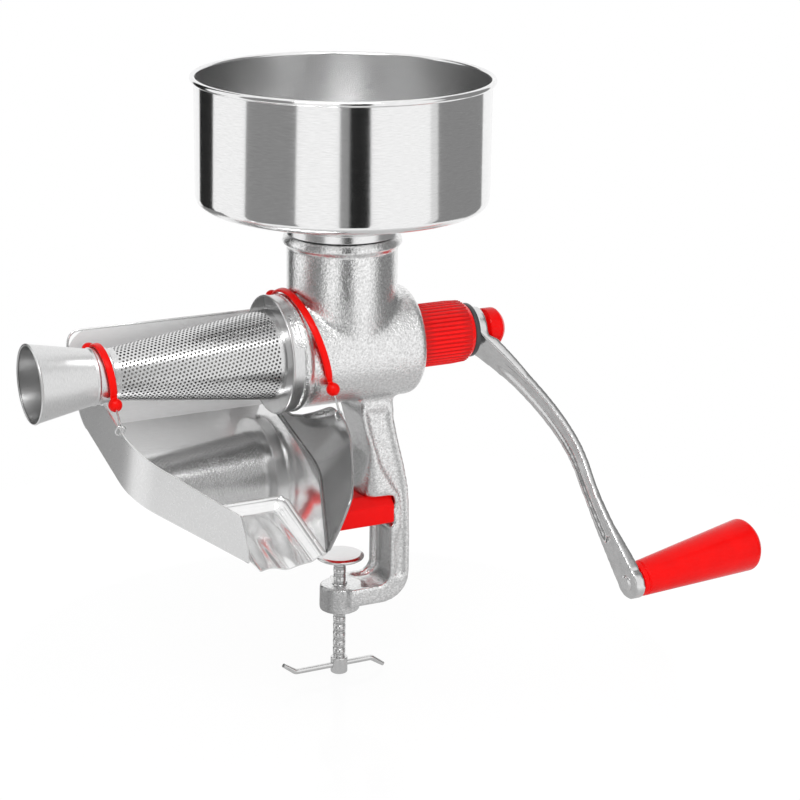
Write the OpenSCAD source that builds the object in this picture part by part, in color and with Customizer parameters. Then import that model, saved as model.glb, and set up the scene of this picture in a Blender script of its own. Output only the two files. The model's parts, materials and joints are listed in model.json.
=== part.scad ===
// Manual tomato press that clamps to a table edge.
// X runs along the crank axis towards the crank, Y from front to back, Z up.
// The origin is on the clamp screw's axis, in the plane of the table top under the red jaw pad.

/* [Placement] */
// Height of the crank axis above the table top
shaft_h = 138.5; // [125:0.5:170]

/* [Hopper] */
// Outside diameter of the bowl's straight wall
bowl_d = 212.4; // [150:0.1:260]
// Height of the straight wall, from the fillet to the rim bead
bowl_wall_h = 83.3; // [40:1:140]
// Sheet thickness of the bowl
bowl_sheet = 1; // [0.6:0.1:2]
// Diameter of the rolled bead round the rim
bead_d = 4.2; // [3:0.1:8]
// Outer radius of the fillet between the wall and the cone
bowl_fillet = 9; // [4:0.5:20]
// Slope of the bowl's cone, in degrees
bowl_slope = 21.7; // [12:0.1:32]
// Length of the spigot that stands inside the throat
spigot_len = 20; // [10:1:30]
// Radial clearance of the spigot in the throat
spigot_gap = 0.5; // [0.2:0.1:1.5]

/* [Body casting] */
// Outside diameter of the barrel
barrel_d = 83; // [76:0.1:96]
// Wall of the barrel
barrel_wall = 5.5; // [3:0.1:8]
// Distance from the throat axis to the barrel's rear face
barrel_rear = 52; // [46:0.5:80]
// Distance from the throat axis to the front of the barrel's flange
flange_front = 48; // [45:0.5:70]
// Width of the barrel's flange
flange_w = 5; // [3:0.1:10]
// How far the flange stands out from the barrel
flange_over = 2; // [0.5:0.1:10]
// Radius of the rounded rear edge of the barrel
rear_round = 6; // [2:0.5:12]
// Thickness of the barrel's rear wall
rear_wall = 8; // [5:0.5:14]
// Outside diameter of the throat
throat_d = 81.4; // [60:0.1:82]
// Wall of the throat
throat_wall = 4.5; // [3:0.1:8]
// Height of the throat's lip above the crank axis
throat_h = 82.5; // [60:0.5:110]
// Diameter of the throat's lip
lip_d = 87.6; // [83:0.1:96]
// Height of the throat's lip
lip_h = 4; // [2:0.5:10]
// Diameter of the boss behind the barrel
boss_d = 36; // [30:0.5:44]
// Length of the boss behind the barrel
boss_len = 40; // [24:1:60]

/* [Shaft and bearing] */
// Diameter of the crank shaft
shaft_d = 16; // [12:0.1:20]
// Radial running clearance of the round shafts and pins
run_gap = 0.05; // [0.02:0.01:0.1]
// Wall of the bearing bush
bush_wall = 4; // [2:0.1:6]
// Width across the flats of the square drive
drive_w = 10; // [8:0.1:12]
// Diameter of the threaded end that holds the crank
stud_d = 8; // [6:0.1:9]
// Thickness of the shaft seal
seal_t = 4; // [2:0.5:8]
// Radial width of the shaft seal
seal_w = 7; // [4:0.5:10]

/* [Collar nut and knob] */
// Outside diameter of the red collar nut
collar_d = 48; // [42:0.1:60]
// Length of the red collar nut
collar_len = 50; // [45:0.5:70]
// Thickness of the collar's end wall
collar_end = 5; // [3:0.5:8]
// Diameter of the dark thrust washer
washer_d = 41; // [30:0.1:46]
// Thickness of the dark thrust washer
washer_t = 4.2; // [2:0.1:8]
// Diameter of the red knob that holds the crank
knob_d = 29; // [22:0.1:40]
// Length of the red knob
knob_len = 18; // [14:0.5:30]

/* [Auger] */
// Gap between the auger and the wall round it
auger_gap = 1.2; // [0.6:0.1:3]
// Diameter of the auger's core at the rear
core_rear_d = 34; // [26:0.5:44]
// Diameter of the auger's core at the front tip
core_tip_d = 22; // [14:0.5:26]
// Thickness of the auger's flight
flight_t = 6; // [3:0.5:10]
// Distance that the flight advances in one turn
flight_pitch = 42; // [30:1:70]

/* [Filter and funnel] */
// Width of the filter's mounting ring
ring_w = 9; // [6:0.5:14]
// Sheet thickness of ring, cone and funnel
filter_sheet = 0.8; // [0.6:0.1:1.5]
// Radial clearance of the ring on the barrel's rim
ring_gap = 0.1; // [0.05:0.01:0.1]
// Diameter of the perforated cone at its wide end
cone_wide_d = 66; // [50:0.1:70]
// Diameter of the perforated cone at its narrow end
cone_narrow_d = 36.6; // [28:0.1:44]
// Length of the perforated cone
cone_len = 124; // [90:1:160]
// Diameter of the funnel's neck
neck_d = 40; // [34:0.1:50]
// Length of the funnel's straight neck
neck_len = 13; // [12:0.5:20]
// Length of the funnel's taper
funnel_len = 43; // [30:1:70]
// Diameter of the funnel's mouth
mouth_d = 56; // [48:0.1:80]
// Diameter of the rolled lip round the mouth
mouth_bead_d = 2; // [1.2:0.1:4]
// Thickness of the filter's rubber gasket
gasket_t = 1.2; // [0.8:0.1:2]
// Diameter of the two bayonet pins
pin_d = 4; // [3:0.1:5]
// Turn that frees the filter from its pins, in degrees
twist = 25; // [15:1:40]

/* [Clamp] */
// Width of the clamp's frame from front to back
frame_w = 38; // [30:0.5:48]
// Depth of the clamp's stem, from its inner face to its back
stem_depth = 16.6; // [12:0.1:24]
// Distance from the screw axis to the stem's inner face
stem_in = 33.4; // [30:0.1:50]
// Depth of the hollow in the stem's inner face
hollow_depth = 5; // [2:0.5:8]
// Width of the two ribs beside the hollow
rib_w = 5.5; // [3:0.5:10]
// Distance from the table top down to the screw's boss
jaw_gap = 50; // [44:0.5:80]
// Outside diameter of the screw's boss
screw_boss_d = 30.8; // [22:0.1:36]
// Height of the screw's boss
screw_boss_h = 20.5; // [14:0.5:30]
// Thickness of the lower arm
arm_h = 14; // [9:0.5:20]
// Diameter of the clamp screw
screw_d = 10; // [8:0.1:12]
// Distance from the boss down to the screw's head, as the clamp stands open
screw_out = 40; // [32:0.5:60]
// Diameter of the screw's head
head_d = 13; // [12:0.1:18]
// Height of the screw's head
head_h = 12.8; // [9:0.1:18]
// Diameter of the pressure disc
disc_d = 33.8; // [24:0.1:40]
// Thickness of the pressure disc
disc_t = 4; // [3:0.1:8]
// Distance from the pad down to the disc, as the clamp stands open
clamp_open = 25.5; // [22:0.5:30]
// Diameter of the screw's swivel tip
tip_d = 6; // [4:0.1:8]
// Depth of the swivel tip inside the disc
tip_len = 2.4; // [1.5:0.1:3]
// Diameter of the cross bar
bar_d = 4.3; // [3.5:0.1:5.5]
// Length of the cross bar between its bends
bar_len = 64; // [46:1:90]
// Length of each bent end of the cross bar
bar_end_len = 13; // [8:0.5:24]
// Angle of the cross bar's bends, in degrees
bar_bend = 35; // [20:1:45]

/* [Jaw pad] */
// Height of the pad's side
pad_h = 14.5; // [12:0.5:20]
// Height of the pad's sloping shoulder
pad_shoulder = 7.5; // [5:0.5:12]
// Length of the pad in front of the screw axis
pad_front = 18; // [12:0.5:24]
// Wall of the pad
pad_wall = 2.5; // [1.5:0.1:4]
// How far the pad's sides stand out from the frame
pad_over = 0.7; // [0.3:0.1:2]
// Clearance of the pad on the jaw
pad_gap = 0.2; // [0.1:0.05:0.5]

/* [Crank] */
// Turn of the crank from straight down towards the front, in degrees
crank_turn = 40; // [0:1:180]
// Distance from the crank axis to the grip's pin
crank_r = 216; // [170:1:260]
// How far the arm stands out, from the hub to the pin
arm_reach = 62; // [40:1:90]
// Diameter of the crank's hub
hub_d = 34; // [28:0.5:44]
// Thickness of the crank's hub
hub_t = 8; // [6:0.1:12]
// Thickness of the arm along its middle
arm_t = 5.5; // [4:0.1:9]
// Width of the arm along its middle
arm_w = 16; // [12:0.5:24]
// Diameter of the boss at the arm's end
end_boss_d = 25; // [20:0.5:34]
// Tilt of the grip towards the crank axis, in degrees
grip_tilt = 6.7; // [0:0.1:12]

/* [Grip] */
// Length of the grip
grip_len = 107; // [80:1:140]
// Diameter of the grip beside the arm
grip_small_d = 26; // [20:0.5:34]
// Diameter of the grip's outer end
grip_large_d = 41; // [28:0.5:50]
// Radius of the grip's rounded end
grip_round = 6; // [2:0.5:12]
// Diameter of the grip's pin
grip_pin_d = 8; // [5:0.1:10]
// Gap between the grip and the arm's boss
grip_gap = 0.4; // [0.2:0.1:1]

/* [Tray] */
// Slope of the tray's floor towards the front, in degrees
tray_slope = 15.8; // [8:0.1:24]
// Height of the floor below the crank axis, straight under it
tray_drop = 54.9; // [50:0.1:70]
// Sheet thickness of the tray
tray_sheet = 1; // [0.6:0.1:1.5]
// Distance from the barrel's flange to the tray's left wall
tray_span = 141; // [130:0.5:170]
// Distance from the crank axis back to the tray's back wall
tray_back = 50; // [48:0.5:70]
// Height of the back wall's top edge above the crank axis
back_top = 20.5; // [10:0.5:35]
// Radius of the bend between floor and back wall
back_bend = 30; // [15:0.5:34]
// Radius of the back wall's top left corner
back_corner = 20; // [5:1:30]
// Height of the left wall, square to the floor
side_h = 38.3; // [25:0.1:45]
// Length of the floor in front of the crank axis, along its slope
floor_front = 155; // [120:1:190]
// Length of the left wall in front of the crank axis
left_front = 63; // [40:1:90]
// Width of the spout's channel at the floor
spout_w = 52; // [40:1:60]
// Length of the spout's channel
spout_len = 70; // [50:1:100]
// Depth of the spout's channel below the floor
spout_depth = 5; // [3:0.5:9]
// Distance from the barrel's flange forward to the floor's right edge
right_in = 3.5; // [0:0.1:12]
// Distance in front of the crank axis at which the right edge turns inwards
right_turn = 61; // [40:1:90]
// Outward lean of the right wall, in degrees
right_lean = 26; // [15:0.1:35]
// Height of the right wall along its own slope
right_h = 39.5; // [30:0.1:45]
// How far the back wall stands out past the left wall
back_over = 5; // [0:0.5:8]

/* [Straps] */
// Thickness of the rubber straps
strap_t = 2.5; // [1.5:0.1:4]
// Width of the rubber straps
strap_w = 5.5; // [4:0.1:8]
// Gap between the barrel strap and the barrel's side
strap_side = 1.5; // [0.5:0.1:4]
// Distance from the throat's front side back to the barrel strap's middle
strap_back = 8.6; // [4:0.1:20]
// Distance from the neck's step to the neck strap's middle
strap_step = 3.7; // [3:0.1:8]
// Diameter of the balls at the straps' ends
ball_d = 10; // [8:0.1:14]
// Diameter of the hooks' wire
wire_d = 1.6; // [1:0.1:2.5]
// Radius of the hooks' eyes
eye_r = 3.4; // [2.5:0.1:5]
// Distance from the right wall's fold back to its hook
hook_back = 12; // [8:0.5:24]
// Distances of the neck strap's hooks in front of and behind the crank axis, along the floor
hook_front_t = 34; // [30:0.5:50]
hook_rear_t = 42; // [36:0.5:50]

/* [Hidden] */
$fn = 96;

// Small overlap that makes a cut run right through a face
cut = 1;
// Slack between parts of different bodies that only lie close to each other
close_gap = 0.3;

// Radii from the diameters
barrel_r = barrel_d / 2;
barrel_bore_r = barrel_r - barrel_wall;
rim_r = barrel_r + 0.4;
rim_len = ring_w - 1;
flange_r = barrel_r + flange_over;
throat_r = throat_d / 2;
throat_bore_r = throat_r - throat_wall;
shaft_r = shaft_d / 2;
bush_r = shaft_r + run_gap + bush_wall;
collar_r = collar_d / 2;
screw_r = screw_d / 2;
neck_r = neck_d / 2;

// Places along the crank axis
barrel_front = flange_front + rim_len;
ring_face = barrel_front + gasket_t + filter_sheet;
cone_tip = ring_face + cone_len;
funnel_mouth = cone_tip + neck_len + funnel_len;
collar_out = barrel_rear + collar_len;
washer_out = collar_out + close_gap + washer_t;
hub_in = washer_out;
hub_out = hub_in + hub_t;
knob_in = hub_out;
knob_out = knob_in + knob_len;

// Tray line where the floor's straight part ends and the bend starts
bend_start = (tray_back - back_bend * (1 - sin(tray_slope))) / cos(tray_slope);
tray_left = -(flange_front + tray_span);

// Lays what is drawn along Z on the crank axis, pointing to +X
module on_axis(x = 0) {
    translate([x, 0, shaft_h]) rotate([0, 90, 0]) children();
}

// A tube along Z
module tube(r_out, r_in, h) {
    difference() {
        cylinder(r = r_out, h = h);
        translate([0, 0, -cut]) cylinder(r = r_in, h = h + 2 * cut);
    }
}

// A round rod from point a to point b
module rod(a, b, r) {
    d = b - a;
    flat = norm([d.x, d.y]);
    translate(a) rotate([0, atan2(flat, d.z), atan2(d.y, d.x)]) cylinder(r = r, h = norm(d), $fn = 24);
}

// A ring of round wire round the Z axis
module wire_ring(ring_r, wire_r) {
    rotate_extrude($fn = 48) translate([ring_r, 0]) circle(r = wire_r, $fn = 24);
}

// Points on an arc of radius r about c
function arc(c, r, a0, a1, n = 8) = [for (i = [0:n]) c + r * [cos(a0 + (a1 - a0) * i / n), sin(a0 + (a1 - a0) * i / n)]];

// Point at t on a cubic curve with four control points, and its direction
function curve(p, t) = pow(1 - t, 3) * p[0] + 3 * pow(1 - t, 2) * t * p[1] + 3 * (1 - t) * t * t * p[2] + pow(t, 3) * p[3];
function slope(p, t) = pow(1 - t, 2) * (p[1] - p[0]) + 2 * (1 - t) * t * (p[2] - p[1]) + t * t * (p[3] - p[2]);

// Hopper, sitting on the throat's lip

throat_top = shaft_h + throat_h;
seat_r = lip_d / 2 - 1;
spigot_r = throat_bore_r - spigot_gap;
bowl_r = bowl_d / 2;
cone_base = throat_top + bowl_sheet;
corner_z = cone_base + (bowl_r - seat_r) * tan(bowl_slope);
fillet_z = corner_z - bowl_fillet * tan(bowl_slope) + bowl_fillet / cos(bowl_slope);
bead_z = fillet_z + bowl_wall_h;

module hopper_bowl() {
    fillet_c = [bowl_r - bowl_fillet, fillet_z];
    cone_step = bowl_sheet / sin(bowl_slope);
    color("gainsboro") rotate_extrude($fn = 180) polygon(concat(
        [[seat_r - cone_step, cone_base], [seat_r, cone_base]],
        arc(fillet_c, bowl_fillet, bowl_slope - 90, 0),
        [[bowl_r, bead_z], [bowl_r - bowl_sheet, bead_z]],
        arc(fillet_c, bowl_fillet - bowl_sheet, 0, bowl_slope - 90)));
    color("gainsboro") translate([0, 0, bead_z]) rotate_extrude($fn = 180)
        translate([bowl_r - bowl_sheet + bead_d / 2, 0]) circle(r = bead_d / 2, $fn = 32);
}

module hopper_spigot() {
    color("silver") rotate_extrude() polygon([
        [spigot_r - bowl_sheet, throat_top - spigot_len], [spigot_r, throat_top - spigot_len],
        [spigot_r, throat_top], [seat_r, throat_top], [seat_r, cone_base], [spigot_r - bowl_sheet, cone_base]]);
}

// Body casting

module body_barrel() {
    end_r = barrel_r - rear_round;
    color("silver") difference() {
        on_axis() rotate_extrude() polygon(concat(
            [[0, -barrel_front], [rim_r, -barrel_front], [rim_r, -flange_front], [flange_r, -flange_front],
             [flange_r, flange_w - flange_front], [barrel_r, flange_w - flange_front]],
            arc([end_r, barrel_rear - rear_round], rear_round, 0, 90),
            [[boss_d / 2, barrel_rear], [boss_d / 2, barrel_rear + boss_len], [0, barrel_rear + boss_len]]));
        on_axis(-barrel_front - cut) cylinder(r = barrel_bore_r, h = barrel_front + barrel_rear - rear_wall + cut);
        on_axis(0) cylinder(r = bush_r, h = barrel_rear + boss_len + cut);
        translate([0, 0, shaft_h]) cylinder(r = throat_bore_r, h = barrel_d);
    }
}

module body_throat() {
    lip_r = lip_d / 2;
    groove = 0.8;
    color("silver") difference() {
        rotate_extrude() polygon([
            [throat_bore_r, shaft_h], [throat_r, shaft_h], [throat_r, throat_top - lip_h - groove],
            [lip_r - groove, throat_top - lip_h], [lip_r, throat_top - lip_h + groove],
            [lip_r, throat_top - groove], [lip_r - groove, throat_top], [throat_bore_r, throat_top]]);
        on_axis(-barrel_front) cylinder(r = barrel_r, h = barrel_front + barrel_rear);
    }
}

module bayonet_pins() {
    reach = 3;
    color("silver") for (a = [0, 180]) on_axis(-flange_front - rim_len / 2)
        rotate([0, 0, a + 40]) difference() {
            translate([-barrel_bore_r - 1, 0, 0]) rotate([0, -90, 0])
                cylinder(r = pin_d / 2, h = rim_r + reach - barrel_bore_r - 1);
            translate([0, 0, -barrel_r]) cylinder(r = rim_r, h = barrel_d);
        }
}

// Clamp frame: a C that opens towards the table

stem_out = stem_in + stem_depth;
arm_top = -jaw_gap;
jaw_in = stem_in + 3;
jaw_step = 2.5;
jaw_top = pad_h - pad_wall;
foot_z = pad_h + pad_shoulder + pad_gap;
foot_x = stem_in - 11;
bow = 9;
low_round = 22;

// Side view of the frame, with the stem's inner face set in by a depth
function frame_side(depth) = concat(
    [[8, shaft_h], [8, shaft_h - 50], [12, shaft_h - 66], [16.5, shaft_h - 80], [foot_x - 1.5, foot_z + 22],
     [foot_x, foot_z], [jaw_in, foot_z], [jaw_in, -jaw_step], [stem_in + depth, -jaw_step - depth]],
    [for (q = arc([stem_in - bow, arm_top + bow], bow, 0, -90)) q + [q.y > arm_top + bow - 0.01 ? depth : 0, 0]],
    [[0, arm_top], [0, arm_top - arm_h]],
    arc([stem_out - low_round, arm_top - arm_h + low_round], low_round, -90, 0),
    [[stem_out, -10], [stem_out - 1.5, foot_z + 2], [stem_out - 5.5, foot_z + 22], [stem_out - 11, shaft_h - 73],
     [stem_out - 15, shaft_h - 55], [stem_out - 15, shaft_h]]);

module across_y(w) {
    translate([0, w / 2, 0]) rotate([90, 0, 0]) linear_extrude(w) children();
}

module clamp_frame() {
    plate_w = frame_w - 2 * pad_wall;
    neck_w = frame_w / 2;
    color("silver") difference() {
        union() {
            difference() {
                across_y(frame_w) polygon(frame_side(0));
                translate([stem_in - cut, rib_w - frame_w / 2, arm_top + bow])
                    cube([hollow_depth + cut, frame_w - 2 * rib_w, jaw_gap - bow - 6]);
                on_axis(-barrel_r) cylinder(r = barrel_r, h = barrel_d * 2);
                translate([stem_in + 3.5, -frame_w / 2 - cut, 5]) cube([3, cut + 2, 11]);
            }
            across_y(plate_w) polygon([[pad_wall - pad_front, pad_wall], [jaw_in + 1, pad_wall], [jaw_in + 1, jaw_top],
                [pad_wall - pad_front, jaw_top]]);
            across_y(neck_w) polygon([[jaw_top - 2, jaw_top - 1], [jaw_in + 1, jaw_top - 1], [jaw_in + 1, foot_z],
                [foot_x, foot_z]]);
            translate([0, 0, arm_top - screw_boss_h]) cylinder(r = screw_boss_d / 2, h = screw_boss_h);
        }
        translate([0, 0, arm_top - screw_boss_h - cut]) cylinder(r = screw_r + run_gap, h = screw_boss_h + 2 * cut);
    }
}

module jaw_pad() {
    half = frame_w / 2 + pad_over;
    top_half = frame_w / 4 + 3;
    plate_w = frame_w - 2 * pad_wall + 2 * pad_gap;
    color("red") difference() {
        translate([-pad_front, 0, 0]) rotate([90, 0, 90]) linear_extrude(pad_front + jaw_in - pad_gap) polygon([
            [-half, 1], [1 - half, 0], [half - 1, 0], [half, 1], [half, pad_h], [top_half, pad_h + pad_shoulder],
            [-top_half, pad_h + pad_shoulder], [-half, pad_h]]);
        translate([pad_wall - pad_gap - pad_front, -plate_w / 2, pad_wall])
            cube([pad_front + jaw_in, plate_w, jaw_top - pad_wall + pad_gap]);
        across_y(frame_w / 2 + 2 * pad_gap) polygon([[jaw_top - 2.5, jaw_top - 1], [jaw_in + 1, jaw_top - 1],
            [jaw_in + 1, foot_z + cut], [foot_x - pad_gap, foot_z + cut]]);
    }
}

// Clamp screw, disc and cross bar

head_top = arm_top - screw_boss_h - screw_out;
bar_z = head_top - head_h / 2;
disc_bottom = -clamp_open - disc_t;

module clamp_screw() {
    color("silver") difference() {
        union() {
            translate([0, 0, head_top]) cylinder(r = screw_r, h = disc_bottom - close_gap - head_top);
            translate([0, 0, head_top]) cylinder(r = tip_d / 2, h = disc_bottom + tip_len - head_top);
            translate([0, 0, head_top - head_h]) rotate_extrude() polygon([[0, 0], [head_d / 2 - 1, 0],
                [head_d / 2, 1], [head_d / 2, head_h - 1], [head_d / 2 - 1, head_h], [0, head_h]]);
        }
        translate([-head_d, 0, bar_z]) rotate([0, 90, 0]) cylinder(r = bar_d / 2 + run_gap, h = 2 * head_d);
    }
}

module pressure_disc() {
    edge = 1;
    color("silver") translate([0, 0, disc_bottom]) difference() {
        rotate_extrude() polygon([[0, 0], [disc_d / 2 - edge, 0], [disc_d / 2, edge], [disc_d / 2, disc_t - edge],
            [disc_d / 2 - edge, disc_t], [0, disc_t]]);
        translate([0, 0, -cut]) cylinder(r = tip_d / 2 + run_gap, h = tip_len + close_gap + cut);
    }
}

module cross_bar() {
    left = -bar_len / 2 - 4.5;
    right = left + bar_len;
    up = bar_end_len * [-cos(bar_bend), 0, sin(bar_bend)];
    color("silver") {
        translate([left, 0, bar_z]) rotate([0, 90, 0]) cylinder(r = bar_d / 2, h = bar_len);
        for (e = [[left, 1], [right, -1]]) {
            rod([e[0], 0, bar_z] - e[1] * up / norm(up), [e[0], 0, bar_z] + e[1] * up, bar_d / 2 - 0.05);
        }
    }
}

// Bearing parts

module shaft_bush() {
    lip = 2;
    start = barrel_rear - rear_wall;
    color("ivory") on_axis(start) tube(bush_r, shaft_r + run_gap, rear_wall + boss_len - lip);
}

module shaft_seal() {
    color("dimgray") on_axis(barrel_rear - rear_wall - seal_t) tube(shaft_r + seal_w, shaft_r + run_gap, seal_t);
}

module collar_nut() {
    edge = 3;
    fit = 0.2;
    boss_depth = boss_len + 2 * fit;
    color("red") on_axis(barrel_rear) rotate_extrude() polygon([
        [boss_d / 2 + fit, 0], [collar_r - 1, 0], [collar_r, 1], [collar_r, collar_len - edge],
        [collar_r - edge, collar_len], [shaft_r + 1, collar_len], [shaft_r + 1, max(boss_depth, collar_len - collar_end)],
        [boss_d / 2 + fit, max(boss_depth, collar_len - collar_end)]]);
}

module thrust_washer() {
    color("black") on_axis(collar_out + close_gap) tube(washer_d / 2, shaft_r + 0.2, washer_t);
}

// Auger and its shaft

shaft_start = -20;
core_start = barrel_rear - rear_wall - seal_t - auger_gap;

// A screw flight from z = 0 to z = len, with the outer radius going from r0 to r1
module flight(len, r0, r1) {
    turns = len / flight_pitch;
    linear_extrude(len, twist = -360 * turns, scale = r1 / r0, slices = ceil(28 * turns), $fn = 8)
        translate([0, -flight_t / 2]) square([r0, flight_t]);
}

module auger() {
    entry = ring_face + 1;
    in_barrel = core_start + flange_front + rim_len;
    in_cone = cone_tip - entry - 4;
    fall = (cone_wide_d - cone_narrow_d) / 2 / cone_len;
    start_r = cone_wide_d / 2 - filter_sheet - auger_gap - fall;
    color("ivory") difference() {
        union() {
            on_axis(core_start) mirror([0, 0, 1]) {
                cylinder(r1 = core_rear_d / 2, r2 = core_tip_d / 2, h = core_start + cone_tip - 6);
                flight(in_barrel, barrel_bore_r - auger_gap, barrel_bore_r - auger_gap);
            }
            on_axis(-entry) mirror([0, 0, 1]) flight(in_cone, start_r, start_r - fall * in_cone);
        }
        on_axis(shaft_start) cylinder(r = shaft_r, h = core_start - shaft_start + cut);
    }
}

module crank_shaft() {
    stud_end = knob_out - 6;
    color("silver") {
        on_axis(shaft_start) cylinder(r = shaft_r, h = hub_in - shaft_start);
        turned() translate([hub_in, -drive_w / 2, -drive_w / 2]) cube([hub_t, drive_w, drive_w]);
        on_axis(hub_out) cylinder(r = stud_d / 2, h = stud_end - hub_out);
    }
}

// Crank, drawn hanging straight down and then turned towards the front

module turned() {
    translate([0, 0, shaft_h]) rotate([-crank_turn, 0, 0]) children();
}

pin_x = hub_in + arm_reach;
end_slope = tan(grip_tilt);
mid_r = 120 / 216 * crank_r;
inner_upper = [[hub_in + 0.5, 10], [hub_in + arm_reach * 0.44, mid_r * 0.35], [hub_in + arm_reach * 0.845, mid_r * 0.71],
    [hub_in + arm_reach * 0.87, mid_r]];
inner_lower = [[hub_in + arm_reach * 0.87, mid_r], [hub_in + arm_reach * 0.87, mid_r + 0.36 * (crank_r - mid_r)],
    [pin_x - end_slope * 0.3 * (crank_r - mid_r), mid_r + 0.7 * (crank_r - mid_r)],
    [pin_x + end_slope * end_boss_d * 0.6, crank_r + end_boss_d * 0.6]];
inner_line = concat([for (i = [0:10]) curve(inner_upper, i / 10)], [for (i = [1:8]) curve(inner_lower, i / 8)]);
inner_slope = concat([for (i = [0:10]) slope(inner_upper, i / 10)], [for (i = [1:8]) slope(inner_lower, i / 8)]);
boss_t = 8.3;

// Thickness of the arm at radius r, thicker at the hub and at the end boss
function arm_thick(r) = arm_t + (hub_t - arm_t) * max(0, 1 - r / 60) + (boss_t - arm_t) * min(1, max(0, (r - crank_r + 45) / 30));

function outer_at(i) = let (s = inner_slope[i] / norm(inner_slope[i])) inner_line[i] + arm_thick(inner_line[i].y) * [s.y, -s.x];

// Side view of the arm in X and radius, from the inner line out by its thickness
function arm_side() = concat([[hub_in, -hub_d / 2], [hub_in, 10]], inner_line,
    [for (i = [len(inner_line) - 1:-1:1]) if (outer_at(i).x > hub_out) outer_at(i)], [[hub_out, 12], [hub_out, -hub_d / 2]]);

// Front view of the arm in Y and radius
module arm_front() {
    taper = [[hub_d / 2 - 2, 8], [arm_w / 2 + 2, 45], [arm_w / 2 + 1, 100], [arm_w / 2, crank_r - 70],
        [end_boss_d / 2 - 0.5, crank_r - 6]];
    circle(r = hub_d / 2);
    translate([0, crank_r]) circle(r = end_boss_d / 2);
    polygon(concat(taper, [for (i = [4:-1:0]) [-taper[i].x, taper[i].y]]));
}

module grip_axis() {
    translate([pin_x, 0, -crank_r]) rotate([0, 90 - grip_tilt, 0]) children();
}

module crank_arm() {
    groove_w = arm_w - 7;
    groove_depth = 1.6;
    half = hub_d;
    color("silver") turned() difference() {
        intersection() {
            rotate([90, 0, 0]) translate([0, 0, -half]) linear_extrude(2 * half) polygon([for (p = arm_side()) [p.x, -p.y]]);
            rotate([0, 90, 0]) linear_extrude(pin_x + 2 * half) rotate([0, 0, -90]) arm_front();
        }
        translate([0, groove_w / 2, 0]) rotate([90, 0, 0]) linear_extrude(groove_w) polygon(concat(
            [for (i = [4:len(inner_line) - 4]) [inner_line[i].x - cut, -inner_line[i].y]],
            [for (i = [len(inner_line) - 4:-1:4]) [inner_line[i].x + groove_depth, -inner_line[i].y]]));
        translate([hub_in - cut, -drive_w / 2, -drive_w / 2]) cube([hub_t + 2 * cut, drive_w, drive_w]);
        grip_axis() translate([0, 0, -boss_t]) cylinder(r = grip_pin_d / 2, h = 4 * boss_t);
    }
}

module crank_knob() {
    edge = 4;
    waist = 3;
    stud_end = knob_out - 6;
    color("red") difference() {
        on_axis(knob_in) rotate_extrude() polygon(concat(
            [[0, 0], [knob_d / 2 - waist, 0], [knob_d / 2 - waist, 2], [knob_d / 2, 4]],
            arc([knob_d / 2 - edge, knob_len - edge], edge, 0, 75, 5), [[0, knob_len]]));
        on_axis(knob_in - cut) cylinder(r = stud_d / 2, h = stud_end - knob_in + cut);
    }
}

pin_reach = grip_len * 0.82;

module grip_pin() {
    rivet_r = grip_pin_d / 2 + 2;
    color("silver") turned() grip_axis() {
        translate([0, 0, -1.6]) cylinder(r1 = rivet_r - 1.5, r2 = rivet_r, h = 1.6);
        cylinder(r = grip_pin_d / 2, h = boss_t + grip_gap + pin_reach);
    }
}

module grip() {
    groove = 0.7;
    r0 = grip_small_d / 2;
    r1 = grip_large_d / 2;
    at = function(z) r0 + (r1 - r0) * z / (grip_len - grip_round);
    color("red") turned() grip_axis() translate([0, 0, boss_t + grip_gap]) difference() {
        rotate_extrude() polygon(concat(
            [[0, 0], [r0 - 0.6, 0], [r0, 0.6], [at(3), 3], [at(3.6) - groove, 3.6], [at(4.6) - groove, 4.6], [at(5.2), 5.2]],
            arc([r1 - grip_round, grip_len - grip_round], grip_round, 4, 90), [[0, grip_len]]));
        translate([0, 0, -cut]) cylinder(r = grip_pin_d / 2 + run_gap, h = pin_reach + cut + close_gap);
    }
}

// Filter: mounting ring, perforated cone and outlet funnel

ring_r = rim_r + ring_gap + filter_sheet;

module filter_ring() {
    bead = 0.8;
    slot_w = pin_d + 1;
    slot_x = -flange_front - rim_len / 2;
    color("silver") difference() {
        union() {
            on_axis(-ring_face) rotate_extrude() polygon([
                [cone_wide_d / 2 - filter_sheet, 0], [ring_r, 0], [ring_r, ring_w + gasket_t + filter_sheet - 1.4],
                [ring_r - filter_sheet, ring_w + gasket_t + filter_sheet - 1.4], [ring_r - filter_sheet, filter_sheet],
                [cone_wide_d / 2 - filter_sheet, filter_sheet]]);
            on_axis(-ring_face + bead) wire_ring(ring_r, bead);
        }
        for (a = [0, 180]) on_axis(slot_x) rotate([0, 0, a + 40]) {
            slot(slot_w, -5, twist + 4.5, -slot_w / 2);
            slot(ring_w * 2, twist - 4.5, twist + 4.5, 0);
        }
    }
}

// A sector from angle a0 to a1, through the ring's band and along Z from z0 for a length
module slot(length, a0, a1, z0) {
    mid = (a0 + a1) / 2;
    reach = 2 * flange_r;
    translate([0, 0, z0]) linear_extrude(length) polygon([[0, 0], reach * [cos(a0), sin(a0)],
        reach * [cos(mid), sin(mid)], reach * [cos(a1), sin(a1)]]);
}

module filter_gasket() {
    color("dimgray") on_axis(-barrel_front - gasket_t) tube(rim_r - 0.4, barrel_bore_r + 1, gasket_t - 0.1);
}

module filter_cone() {
    color("silver") on_axis(-ring_face) mirror([0, 0, 1]) rotate_extrude() polygon([
        [cone_wide_d / 2 - filter_sheet, 0], [cone_wide_d / 2, 0], [cone_narrow_d / 2, cone_len],
        [cone_narrow_d / 2 - filter_sheet, cone_len]]);
}

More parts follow.
